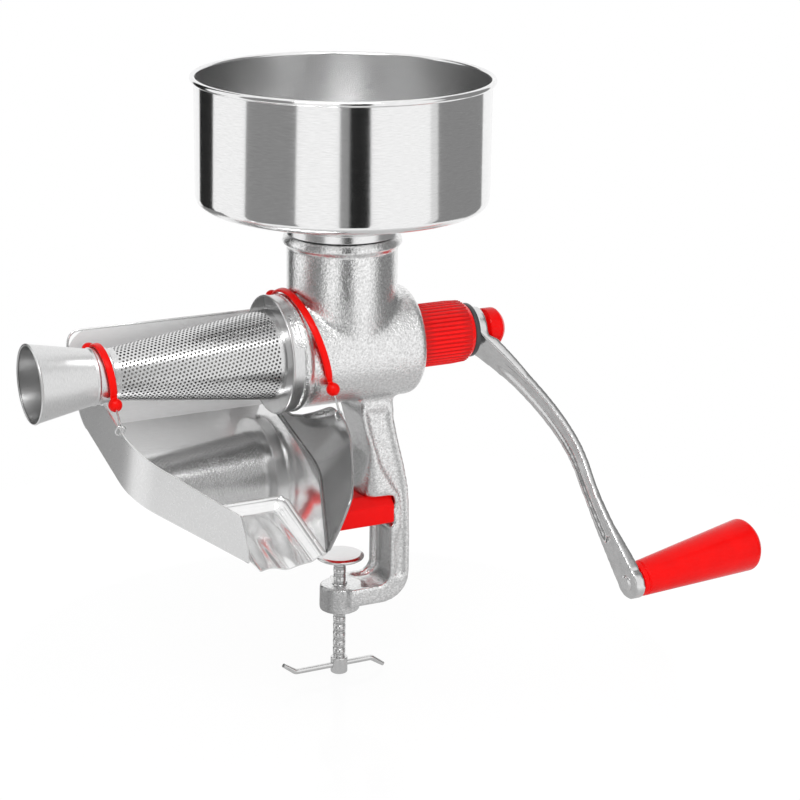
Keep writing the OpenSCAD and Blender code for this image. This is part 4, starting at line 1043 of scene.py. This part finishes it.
# %% [markdown]
# ## Ring and funnel
# Both are pressed from sheet and turned on the same axis as the cone. The ring has a rolled front edge, a
# flat face and a short band that goes over the barrel's rim. The funnel steps down over the cone's tip and
# flares to a mouth with a rolled lip. Only the ring's two slots are cut elsewhere, in the CAD model, so the
# ring's solid keeps its place under a finer front bead.

# %% Front bead of the ring
RING_BEAD_R, BEAD_BACK = 0.95, 0.75
ring_bead = turned_piece("ring_bead", [(RING_R + RING_BEAD_R * cos(a), RING_FACE - BEAD_BACK
    + RING_BEAD_R * sin(a)) for a in round_steps(16)], TO_TIP)
fit(ring_bead, "filter", "sheet_steel", (), finish_for["spun_filter"])

# %% The funnel
TIP_IN, NECK_IN_R, LIP_R = 17.5, NECK_R - FILTER_SHEET, 1.0
neck_end, mouth = CONE_TIP + NECK_LEN, CONE_TIP + NECK_LEN + FUNNEL_LEN
outside = rounded([(TIP_IN, CONE_TIP), (NECK_R, CONE_TIP, 1.6), (NECK_R, neck_end - 2.2, 0.6),
    (NECK_R + 0.9, neck_end - 1.0, 0.7), (NECK_R + 0.1, neck_end + 0.4, 0.8), (MOUTH_R, mouth - 0.9)], 1.0,
    closed=False)
lip = [(MOUTH_R - 0.4 + LIP_R * cos(radians(a)), mouth + LIP_R * sin(radians(a))) for a in range(-60, 211, 30)]
inside = rounded([(MOUTH_R - 0.9, mouth - 0.4), (NECK_IN_R, neck_end, 3), (NECK_IN_R, CONE_TIP + FILTER_SHEET),
    (TIP_IN, CONE_TIP + FILTER_SHEET)], 0, closed=False)
funnel = turned_piece("funnel", outside + lip + inside, TO_TIP)
fit(funnel, "filter", "sheet_steel", ["outlet_funnel"], finish_for["spun_filter"])

# %% [markdown]
# ## Collar, washer and knob
# The collar nut is a sleeve with ribs along it for grip. One rib is a low half-round bar, and Geometry Nodes
# set it on every point of a circle. The washer and the knob are simple turned shapes with soft edges.

# %% Ribs round the collar
def ribs_tree():
    """Half-sunk bars on a circle, each a little thinner at its two ends."""
    graph = Grower("collar_ribs", ("Circle radius", "Rib radius", "Rib length"), counts=("Count",))
    size = graph.size
    circle = graph.add("GeometryNodeMeshCircle", None,
        {"Vertices": size["Count"], "Radius": size["Circle radius"]})
    rib = graph.add("GeometryNodeMeshCylinder", {"fill_type": "NGON"}, {"Vertices": 10, "Side Segments": 4,
        "Radius": size["Rib radius"], "Depth": size["Rib length"]})
    x, y, z = graph.point()
    end = z.math("ABSOLUTE", z) / (size["Rib length"] * 0.5)
    thin = 1 - end.math("GREATER_THAN", end, 0.9) * 0.45
    rib = graph.moved(rib, x * thin, y * thin, z)
    return graph.finished(graph.add("GeometryNodeInstanceOnPoints", None, {"Points": circle, "Instance": rib}))

FLANGE_R, SLEEVE_R, SLEEVE_IN, SHAFT_IN, CAP_INSIDE = COLLAR_R - 0.3, COLLAR_R - 0.9, 18.2, 9, 45
sleeve = turned_piece("collar_sleeve", rounded([(SLEEVE_IN, 0), (22.4, 0), (FLANGE_R, 1.2), (FLANGE_R, 4.2),
    (SLEEVE_R, 5), (SLEEVE_R, 45.5), (COLLAR_R - 3.4, COLLAR_LEN), (SHAFT_IN, COLLAR_LEN),
    (SHAFT_IN, CAP_INSIDE), (SLEEVE_IN, CAP_INSIDE)], 0.8),
    ON_CRANK @ Matrix.Translation((0, 0, BARREL_REAR)))
RIB_COUNT, RIB_R, RIB_LEN, RIB_MIDDLE = 44, 1.48, 41.5, 25.6
ribs = grown("collar_ribs", ribs_tree(), Count=RIB_COUNT, Circle_radius=(COLLAR_R - 1.5) * MM,
    Rib_radius=RIB_R * MM, Rib_length=RIB_LEN * MM, Material=finish_for["red_collar"])
on_collar = ON_CRANK @ Matrix.Translation((0, 0, BARREL_REAR + RIB_MIDDLE))
on_collar.translation *= MM
ribs.data.transform(on_collar)
collar = smoothed(joined("collar", [sleeve, ribs]), 40)
fit(collar, "press", "red_gloss", ["collar_nut"], finish_for["red_collar"])

# %% Washer and knob
WASHER_IN, WASHER_R, washer_from = 8.2, 20.5, BARREL_REAR + COLLAR_LEN + 0.3
washer = turned_piece("dark_washer", rounded([(WASHER_IN, washer_from), (WASHER_R, washer_from),
    (WASHER_R, HUB_IN), (WASHER_IN, HUB_IN)], 1.3), ON_CRANK)
fit(washer, "crank", "black_plastic", ["thrust_washer"])
KNOB_R, KNOB_LEN, KNOB_FROM = 15.0, 18, 114.5
knob = turned_piece("knob", rounded([(4.0, 0), (11.5, 0, 0.3), (11.5, 2.0, 1.4), (KNOB_R, 4.2, 1.6),
    (KNOB_R, 13.6, 4.5), (10.0, KNOB_LEN, 3.0), (0.01, KNOB_LEN, 0), (0.01, 12, 0), (4.0, 12, 0)], 0.3,
    steps=6), ON_CRANK @ Matrix.Translation((0, 0, KNOB_FROM)))
fit(knob, "crank", "red_gloss", ["crank_knob"])

# %% [markdown]
# ## Crank and grip
# The crank is die cast: a flat arm with a long groove in its inner face, a hub at one end and an eye for the
# grip's pin at the other. The solid has the form, and a fine new skin over it, relaxed a little, gives the
# soft edges of a casting. The grip is a turned plastic cone with a small step at its narrow end.

# %% The arm
def bezier(ends, t):
    """A point on the curve that four points in the plane guide."""
    a, b, c, d = (Vector(p) for p in ends)
    return a * (1 - t) ** 3 + b * 3 * t * (1 - t) ** 2 + c * 3 * t * t * (1 - t) + d * t ** 3

INNER_UPPER = [(107.0, 10), (133.8, 42), (158.9, 85.2), (160.4, 120)]
INNER_LOWER = [(160.4, 120), (160.4, 154.6), (165.1, 187.2), (170.3, 231)]
inner_line = [bezier(ends, i / 20) for ends in (INNER_UPPER, INNER_LOWER) for i in range(21)]

def press_groove(piece, depth, half, start, end):
    """Presses the long groove into the arm's inner face, with a soft bottom and soft ends."""
    back = TURNED.inverted()
    place = np.array([back @ (v.co / MM) for v in piece.data.vertices])
    x, across, r = place[:, 0], place[:, 1], -place[:, 2]
    face = np.interp(r, [p.y for p in inner_line], [p.x for p in inner_line])
    want = depth * soft((1 - abs(across) / half) * 2.2) * soft((r - start) / 14) * soft((end - r) / 7)
    near = (x - face < 2.9) & (abs(across) < half)
    place[:, 0] = np.where(near, face + np.maximum(want, 0.05), x)
    put_back(piece, np.array([TURNED @ Vector(p) for p in place]))

arm = merged_copy("crank_arm_cast", ["crank_arm"])
reskinned(arm, 0.7)
press_groove(arm, 2.7, 5.6, 27, 184)
relaxed(arm, evenly(0.6), 8)
fit(arm, "crank", "satin_zinc", ["crank_arm"])

# %% The grip and its rivet
GRIP_LEN, GRIP_SMALL, GRIP_LARGE = 107.0, 13.0, 20.5
GRIP_BORE, BORE_END, GRIP_ROUND = 4.05, 88, 5.5
wider = (GRIP_LARGE - GRIP_SMALL) / (GRIP_LEN - 6)
grip = turned_piece("grip_moulded", rounded([(GRIP_BORE, 0, 0), (GRIP_SMALL - 0.5, 0, 0.8),
    (GRIP_SMALL + wider * 3.2, 3.2, 0.5), (GRIP_SMALL - 0.5, 4.0, 0.3), (GRIP_SMALL + wider * 5, 5.0, 0.5),
    (GRIP_LARGE, GRIP_LEN - 5, GRIP_ROUND), (GRIP_LARGE - GRIP_ROUND, GRIP_LEN, 4), (0.01, GRIP_LEN, 0),
    (0.01, BORE_END, 0), (GRIP_BORE, BORE_END, 0)], 0.4, steps=8),
    ON_GRIP @ Matrix.Translation((0, 0, BOSS_T + 0.4)))
fit(grip, "grip", "red_gloss", ["grip"])
RIVET_R = 6.0
rivet = turned_piece("rivet_head", rounded([(0.01, -1.6, 0), (3.8, -1.5, 1.2), (RIVET_R, -0.2, 0.6),
    (RIVET_R, 0.3, 0), (0.01, 0.3, 0)], 0.3, steps=6), ON_GRIP)
fit(rivet, "crank", "zinc_steel")

# %% [markdown]
# ## The clamp
# The pad is a moulded cap over the upper jaw, so it gets the same soft skin as the castings. The screw's
# thread is a spiral that Geometry Nodes sweep with a four-sided section round a thinner core, and its head,
# disc and bar are turned or swept.

# %% The jaw pad
pad = merged_copy("jaw_pad_moulded", ["jaw_pad"])
reskinned(pad, 0.7)
relaxed(pad, evenly(0.6), 5)
fit(pad, "press", "red_gloss", ["jaw_pad"])

# %% The thread
def thread_tree():
    """A four-sided ridge that climbs a spiral."""
    graph = Grower("thread", ("Turns", "Pitch", "Ridge radius", "Ridge size"))
    size = graph.size
    spiral = graph.add("GeometryNodeCurveSpiral", None, {"Resolution": 24, "Rotations": size["Turns"],
        "Start Radius": size["Ridge radius"], "End Radius": size["Ridge radius"],
        "Height": size["Turns"] * size["Pitch"]})
    section = graph.add("GeometryNodeCurvePrimitiveCircle", None,
        {"Resolution": 4, "Radius": size["Ridge size"]})
    return graph.finished(graph.add("GeometryNodeCurveToMesh", None, {"Curve": spiral, "Profile Curve": section,
        "Fill Caps": True}))

SCREW_R, SCREW_FROM, SCREW_TO, SCREW_PITCH, RIDGE = 5.0, -110.5, -29.8, 1.5, 0.70
CORE_R, TIP_R, SCREW_TIP = SCREW_R - 0.72, 3.0, -27.2
HEAD_R, HEAD_LOW, BAR_Z = 6.5, -123.3, -116.9
thread = grown("thread", thread_tree(), Turns=(SCREW_TO - SCREW_FROM - 2 * RIDGE) / SCREW_PITCH,
    Pitch=SCREW_PITCH * MM, Ridge_radius=CORE_R * MM, Ridge_size=RIDGE * MM, Material=finish_for["zinc_steel"])
thread.data.transform(Matrix.Translation((0, 0, (SCREW_FROM + RIDGE) * MM)))
core = turned_piece("screw_core", rounded([(0.01, SCREW_FROM - 0.5, 0), (CORE_R, SCREW_FROM - 0.5, 0),
    (CORE_R, SCREW_TO, 0.4), (TIP_R, SCREW_TO, 0), (TIP_R, SCREW_TIP, 0.3), (0.01, SCREW_TIP, 0)], 0.3),
    UPRIGHT, segments=48)
head = turned_piece("screw_head", rounded([(0.01, HEAD_LOW, 0), (HEAD_R, HEAD_LOW, 1.2),
    (HEAD_R, SCREW_FROM, 1.0), (0.01, SCREW_FROM, 0)], 1.0), UPRIGHT, segments=96)
cutter = swept_piece("bar_hole", [(-12, 0, BAR_Z), (12, 0, BAR_Z)], round_section(2.25, 32), (0, 0, 1))
change = head.modifiers.new("hole", "BOOLEAN")
change.operation, change.solver, change.object = "DIFFERENCE", "EXACT", cutter
applied(head)
bpy.data.objects.remove(cutter)
screw = smoothed(joined("threaded_screw", [core, head, thread]), 38)
fit(screw, "clamp_screw", "zinc_steel", ["clamp_screw"])

# %% Disc and cross bar
DISC_R, SOCKET_R = 18.4, 3.06
disc = turned_piece("swivel_disc", rounded([(SOCKET_R, -29.5, 0), (16.2, -29.5, 1.4), (DISC_R, -28.2, 1.2),
    (DISC_R, -26.9, 1.2), (15.8, -25.8, 3), (8, -25.4, 3), (0.01, -25.3, 0), (0.01, -26.9, 0),
    (SOCKET_R, -26.9, 0)], 0.5), UPRIGHT)
fit(disc, "clamp_foot", "zinc_steel", ["pressure_disc"])

def bent_bar(left, right, height, end, angle):
    """The bar's middle line: straight between two bends, with one end bent up and the other down."""
    reach = Vector((cos(radians(angle)), 0, -sin(radians(angle)))) * end
    first, second = Vector((left, 0, height)), Vector((right, 0, height))
    corners = [first - reach, first, second, second + reach]
    return rounded([(c.x, c.z) for c in corners], 5.0, steps=8, closed=False)

def bar_section(t):
    """Round, and thinner at the two ends."""
    return round_section(2.12 if 0.02 < t < 0.98 else 1.6, 24)

line = bent_bar(-36.5, 27.5, BAR_Z, 12.6, 35)
bar = swept_piece("bent_bar", [(x, 0, z) for x, z in line], bar_section, (0, 1, 0))
fit(bar, "cross_bar", "zinc_steel", ["cross_bar"])

# %% [markdown]
# ## The tray
# The tray is folded from sheet steel: a floor, a left wall that turns a soft corner, a leaning right wall
# with a fold, a back plate, and a pressed spout. A folded sheet is best described by a net of points:
# columns along its foot, rows up its face. Solidify gives the net its thickness. The hems, where the edge is
# turned over so that it doesn't cut, are thin rods along the sheets' edges.

# %% A sheet from a net of points
def net_sheet(name, rows, thick=1.0):
    """A sheet through the middle of a net of points in the tray's frame."""
    count = len(rows[0])
    points = [ON_TRAY @ Vector(point) for row in rows for point in row]
    faces = [(i * count + j, i * count + j + 1, (i + 1) * count + j + 1, (i + 1) * count + j)
        for i in range(len(rows) - 1) for j in range(count - 1)]
    made = plain_mesh(name, points, faces)
    change = made.modifiers.new("thickness", "SOLIDIFY")
    change.thickness, change.offset, change.use_even_offset = thick * MM, 0.0, True
    applied(made)
    return outwards(made, angle=40)

def hem(name, points, radius=0.9, flat=1.0, sides=12):
    """A turned-over edge: a rod along points in the tray's frame."""
    path = [ON_TRAY @ Vector(p) for p in points]
    upward = ON_TRAY.to_3x3() @ Vector((0.02, 0.03, 1))
    return swept_piece(name, path, round_section(radius, sides, flat), upward, angle=60)

def bent(corner, back, on, s, reach):
    """A point on two straight lines that meet in a soft corner, at a distance s from the corner."""
    ends = [corner + back * reach, corner, corner + on * reach]
    if abs(s) >= reach:
        return corner + (on if s > 0 else back) * abs(s)
    t = (s + reach) / (2 * reach)
    return ends[0] * (1 - t) ** 2 + ends[1] * 2 * t * (1 - t) + ends[2] * t * t

# %% Left wall, with its soft corner
LEFT_CORNER, LEFT_END, SIDE_H = Vector((-188.5, -63.0)), Vector((-136.5, -151.6)), 38.3
LEFT_ON = (LEFT_END - LEFT_CORNER).normalized()
LEFT_LEN = (LEFT_END - LEFT_CORNER).length
CROSSING, NOTCH_R = (14.95, 52.83), 21.3
FLOOR_BACK, BEND_R, BEND_Y, BEND_Z, REAR_STEEP = 29.27, 30, 58.1, 21.83, 3.53
WALL_REAR, FRONT_DROP, FRONT_SLANT, WALL_ROWS = -126.2, 5.9, 0.337, 8

def left_foot(s):
    """A point of the left wall's foot, at a distance along it from its soft corner."""
    return bent(LEFT_CORNER, Vector((0, 1)), LEFT_ON, s, 24)

def left_column(y):
    """Lowest and highest point of the left wall at a place y up the slope. Behind the flat floor its foot
    follows the sheet's bend, then the steep back plate. The funnel's neck lies in a round notch in its top."""
    low = 0.0
    if y >= BEND_Y:
        low = BEND_Z + (y - BEND_Y) * REAR_STEEP
    elif y >= FLOOR_BACK:
        low = BEND_R - sqrt(BEND_R ** 2 - (y - FLOOR_BACK) ** 2)
    high = float(np.interp(y, (20, FLOOR_BACK, 63.2), (SIDE_H, 40.3, 39.9)))
    if abs(y - CROSSING[0]) < NOTCH_R:
        high = min(high, CROSSING[1] - sqrt(NOTCH_R ** 2 - (y - CROSSING[0]) ** 2))
    return low, max(high, low + 0.1)

rows = []
for s in np.linspace(WALL_REAR, 0, 90):
    x, y = left_foot(s)
    low, high = left_column(y)
    rows.append([(x, y, low + (high - low) * j / WALL_ROWS) for j in range(WALL_ROWS + 1)])
for u in np.linspace(0.02, 1, 60):
    column = []
    for j in range(WALL_ROWS + 1):
        height = (SIDE_H - FRONT_DROP * u) * j / WALL_ROWS
        end = LEFT_LEN - FRONT_SLANT * height + 1.3 * sin(pi * min(1, height / 34))
        x, y = left_foot(u * end)
        column.append((x, y, height))
    rows.append(column)
left_wall = net_sheet("tray_left", rows)
fit(left_wall, "press", "sheet_steel", ["tray_left_wall"], finish_for["satin_sheet"])

# %% Floor
TRAY_LEFT, TRAY_RIGHT = -189.0, -44.5
SPOUT_L, SPOUT_R, SPOUT_BACK, SPOUT_LIP = -137.0, -85.0, -88.0, -158.0
left_side = [left_foot(s) for s in np.linspace(-92, LEFT_LEN - 0.6, 60)]
outline = [(p.x + 0.1, p.y) for p in left_side] + [(SPOUT_L, -151.0), (SPOUT_L, SPOUT_BACK),
    (SPOUT_R, SPOUT_BACK), (SPOUT_R, -157), (-79.5, -154), (-45.2, -66), (TRAY_RIGHT, -61),
    (TRAY_RIGHT, FLOOR_BACK), (left_side[0].x, FLOOR_BACK)]
floor_sheet = stacked("tray_bottom", [[ON_TRAY @ Vector((x, y, z)) for x, y in outline] for z in (-1.0, 0.0)])
fit(floor_sheet, "press", "sheet_steel", ["tray_floor"], finish_for["mirror_sheet"])

# %% Leaning right wall with its fold
RIGHT_CORNER, RIGHT_END = Vector((-44.1, -61.0)), Vector((-79.2, -153.6))
RIGHT_ON = (RIGHT_END - RIGHT_CORNER).normalized()
RIGHT_LEAN, RIGHT_H = radians(26), 39.5
right_top = rounded([(-73.2, 5.1), (-61, 7.9), (-50.9, 14), (-40.9, 22.9), (-26.8, 37.5), (-12.2, RIGHT_H),
    (15, 38.2), (49.7, 35.6), (74, 31.5), (88, 15.5), (99, 0.6)], 14, steps=5, closed=False)

def right_point(s, height):
    """A point of the leaning wall, at a distance along its foot from the corner and a height up its face."""
    foot = bent(RIGHT_CORNER, Vector((0, 1)), RIGHT_ON, s, 17)
    turn = float(np.clip((s + 17) / 34, 0, 1))
    out = Vector((1, 0)).lerp(Vector((-RIGHT_ON.y, RIGHT_ON.x)), turn).normalized()
    bulge = 0.9 * sin(pi * min(1, height / 39)) * (s > -60)
    side = height * sin(RIGHT_LEAN) + bulge
    return (foot.x + out.x * side, foot.y + out.y * side, height * cos(RIGHT_LEAN))

def right_height(s):
    """How high the leaning wall is at a distance along its foot."""
    return float(np.interp(s, [p[0] for p in right_top], [p[1] for p in right_top]))

RIGHT_ROWS = 9
spots = np.linspace(-73, 98.8, 110)
right_net = [[right_point(s, right_height(s) * j / RIGHT_ROWS) for j in range(RIGHT_ROWS + 1)] for s in spots]
right_wall = net_sheet("tray_right", right_net)
edge = hem("edge", [right_point(s, right_height(s)) for s in spots], 0.95)
foot_line = [Vector(right_point(s, 0)) + Vector((-0.6, 0, 0.7)) for s in np.linspace(-90, 98, 90)]
crease = hem("crease", foot_line, 1.1)
right_wall = smoothed(joined("tray_right", [right_wall, edge, crease]), 50)
# the leaning wall takes the sheet with painted shade
fit(right_wall, "press", "sheet_steel", ["tray_right_wall"], finish_for["dark_sheet"])

# %% Hem of the back plate
PLATE_Y, PLATE_TOP, PLATE_LEFT = 50.4, SHAFT_H + 20.5, -194.0
line = rounded([(PLATE_LEFT + 0.4, PLATE_TOP - 22), (PLATE_LEFT + 0.4, PLATE_TOP - 0.6, 20),
    (-45.0, PLATE_TOP - 0.6)], 0, steps=12, closed=False)
back_edge = swept_piece("tray_back_hem", [(x, PLATE_Y, z) for x, z in line], round_section(0.95, 12),
    (0, 1, 0.01), angle=60)
fit(back_edge, "press", "sheet_steel")
# the back plate takes the sheet with painted light
nodes["tray_back"].data.materials[0] = finish_for["pale_sheet"]

# %% Pressed spout
SPOUT_WAVES, SPOUT_DEEP, WAVE_START = 1.7, 4.6, 0.05

def spout_point(u, v):
    """A point of the spout: u goes across from left to right, v from its back edge to its lip."""
    x = SPOUT_L + (SPOUT_R - SPOUT_L) * u
    lip = SPOUT_LIP + 1.2 - 1.0 * cos(2 * pi * SPOUT_WAVES * (u - WAVE_START)) + 7 * soft(1 - u / 0.14)
    y = SPOUT_BACK + (lip - SPOUT_BACK) * v
    side = soft(min(u, 1 - u) * 52 / 8.5)
    end = soft((SPOUT_BACK - y) / 7)
    ripple = 0.5 * sin(0.30 * x + 0.5 * sin(0.07 * y)) + 0.18 * sin(0.52 * x + 0.09 * y + 1.0)
    sag = 0.9 * v * sin(2 * pi * SPOUT_WAVES * (u - WAVE_START))
    curl = 2.6 * soft(1 - u / 0.12) * soft((v - 0.75) / 0.25)
    return (x, y, -0.5 - SPOUT_DEEP * side * end + side * end * (ripple * soft(v * 1.6) + sag) + curl)

ACROSS, DOWN = 44, 56
net = [[spout_point(i / ACROSS, j / DOWN) for j in range(DOWN + 1)] for i in range(ACROSS + 1)]
spout = net_sheet("channel", net)
HEM_Z = 0.7
corners = [(SPOUT_L + 1.5, SPOUT_BACK + 1.2), (-88.5, SPOUT_BACK + 1.2), (-83.4, SPOUT_BACK - 3.5),
    (-83.4, -156.0)]
frame_hem = [(x, y, HEM_Z) for x, y in rounded(corners, 5, steps=6, closed=False)]
hem_line = hem("hem_line", frame_hem, 1.7, flat=0.6)
WELD_SPOTS = [(-86.0, SPOUT_BACK + 0.3), (-83.6, -141)]
welds = [turned_piece("weld", [(0.01, 2.1), (1.0, 1.95), (1.7, 1.3), (1.7, 0), (0.01, 0)],
    ON_TRAY @ Matrix.Translation((x, y, 0.2)), segments=24) for x, y in WELD_SPOTS]
spout = smoothed(joined("tray_channel", [spout, hem_line] + welds), 50)
fit(spout, "press", "sheet_steel", ["tray_spout"])

# %% [markdown]
# ## Straps and hooks
# Two rubber straps hold the tray up. Each is one moulding: a flat band that lies over the barrel or the
# neck, and a ball at each end that a wire hook grips. The band is swept along a leaning circle, the balls
# are added, and one fine skin over all of it makes the smooth swelling from band to ball. The hooks are a
# single wire bent to an eye that passes through the tray's sheet, with its straight end run up into the
# ball.

# %% The rubber straps
def around(x, r, turn, lean):
    """A point beside the crank's axis, turned from the top towards the front, on a leaning loop."""
    turn = radians(turn)
    return Vector((x - r * cos(turn) * tan(radians(lean)), -r * sin(turn), SHAFT_H + r * cos(turn)))

STRAP_WIDTH, STRAP_THICK, BALL_R, STALK_R = 5.5, 2.5, 5, 2.1

def squared(value):
    """A sine or cosine pushed towards 1 or -1, which turns a circle into a rounded rectangle."""
    return copysign(abs(value) ** 0.6, value)

def strap_piece(name, x, r_top, r_side, lean, front_turn, back_turn, ball_at):
    """A strap over the top at r_top and beside the axis at r_side, with a ball at each turn in degrees. The
    balls' middles lie at the radius ball_at."""
    width, thick = STRAP_WIDTH, STRAP_THICK
    rise = (r_top + width / 2 * sin(radians(lean))) / cos(radians(lean)) - r_side
    loop = (Matrix.Translation((x, 0, SHAFT_H)) @ Matrix.Rotation(radians(90 - lean), 4, "Y")
        @ Matrix.Translation((-rise, 0, 0)))
    middle = r_side + thick / 2
    turns = np.radians(np.linspace(180 - back_turn, 180 + front_turn, 72))
    path = [loop @ Vector((middle * cos(a), middle * sin(a), 0)) for a in turns]
    balls = [around(x, ball_at, -back_turn, lean), around(x, ball_at, front_turn, lean)]
    centre = loop @ Vector((0, 0, 0))

    def section(t):
        near_end = min(t, 1 - t) * len(path) / 4.0
        half = (width / 2) * (0.62 + 0.38 * min(1.0, near_end) ** 0.7)
        return [(half * squared(cos(a)), thick / 2 * squared(sin(a))) for a in round_steps(20)]

    band = swept_piece(name + "_band", path, section, lambda i, here: here - centre)
    parts = [band]
    for ball, end in zip(balls, (path[0], path[-1])):
        half_round = [(BALL_R * sin(a) + 0.01, -BALL_R * cos(a)) for a in np.linspace(0, pi, 25)]
        parts.append(turned_piece("ball", half_round, Matrix.Translation(ball), segments=40))
        stalk = [end, end.lerp(ball, 0.5), ball]
        parts.append(swept_piece("stalk", stalk, round_section(STALK_R, 16), (1, 0, 0)))
    piece = joined(name, parts)
    reskinned(piece, 0.5)
    return relaxed(piece, evenly(0.6), 4), balls

barrel_strap, barrel_balls = strap_piece("barrel_strap", -32.1, 43.8, 43.0, 15, 112, 45, 47.4)
fit(barrel_strap, "press", "red_rubber", ["strap_barrel"])
neck_strap, neck_balls = strap_piece("neck_strap", -185.7, 20.3, 20.8, 7, 128, 60, 26.2)
fit(neck_strap, "press", "red_rubber", ["strap_neck"])

# %% The wire hooks
def tray_point(x, y, z):
    """Where a point of the tray's own frame lies in the press."""
    return ON_TRAY @ Vector((x, y, z))

EYE_R, WIRE_R, HOOK_Y_FRONT, HOOK_Y_BACK, HOOK_Y_RIGHT = 3.4, 0.78, -34, 42, -49
out_right = (ON_TRAY.to_3x3() @ Vector((cos(RIGHT_LEAN), 0, -sin(RIGHT_LEAN)))).normalized()
side_up = ON_TRAY.to_3x3() @ Vector((0, 0, 1))
left_face, along_x, right_eye = TRAY_LEFT + 0.5, Vector((1, 0, 0)), RIGHT_H - EYE_R
right_hole = tray_point(TRAY_RIGHT + right_eye * sin(RIGHT_LEAN) + 0.45, HOOK_Y_RIGHT,
    right_eye * cos(RIGHT_LEAN) - 0.22)
back_hole = Vector((TRAY_RIGHT - 1.5, PLATE_Y + 0.1, PLATE_TOP - EYE_R))
holes = [(tray_point(left_face, HOOK_Y_FRONT, SIDE_H - EYE_R), along_x, side_up, neck_balls[1]),
    (tray_point(left_face, HOOK_Y_BACK, SIDE_H - EYE_R), along_x, side_up, neck_balls[0]),
    (right_hole, out_right, None, barrel_balls[1]), (back_hole, Vector((0, 1, 0)), None, barrel_balls[0])]

def wire_hook(name, hole, normal, out, ball):
    """A wire eye that stands out of a hole in a sheet, and its straight end in the ball."""
    if out is None:
        out = ((ball - hole) - normal * (ball - hole).dot(normal)).normalized()
    eye = hole + out * EYE_R
    turns = np.linspace(radians(350), radians(8), 40)
    ring = [eye + out * EYE_R * cos(a) + normal * EYE_R * sin(a) for a in turns]
    top = eye + out * EYE_R
    towards = (ball - top).normalized()
    path = ring + [top + towards * 1.2 + out * 0.3, ball - towards * 3.0]
    side = normal.cross(out)
    return swept_piece(name, path, round_section(WIRE_R, 12), lambda i, here: side, angle=50)

wires = joined("tray_hooks", [wire_hook(f"hook_{i}", *spot) for i, spot in enumerate(holes)])
fit(wires, "press", "bright_wire", ["strap_hooks"])
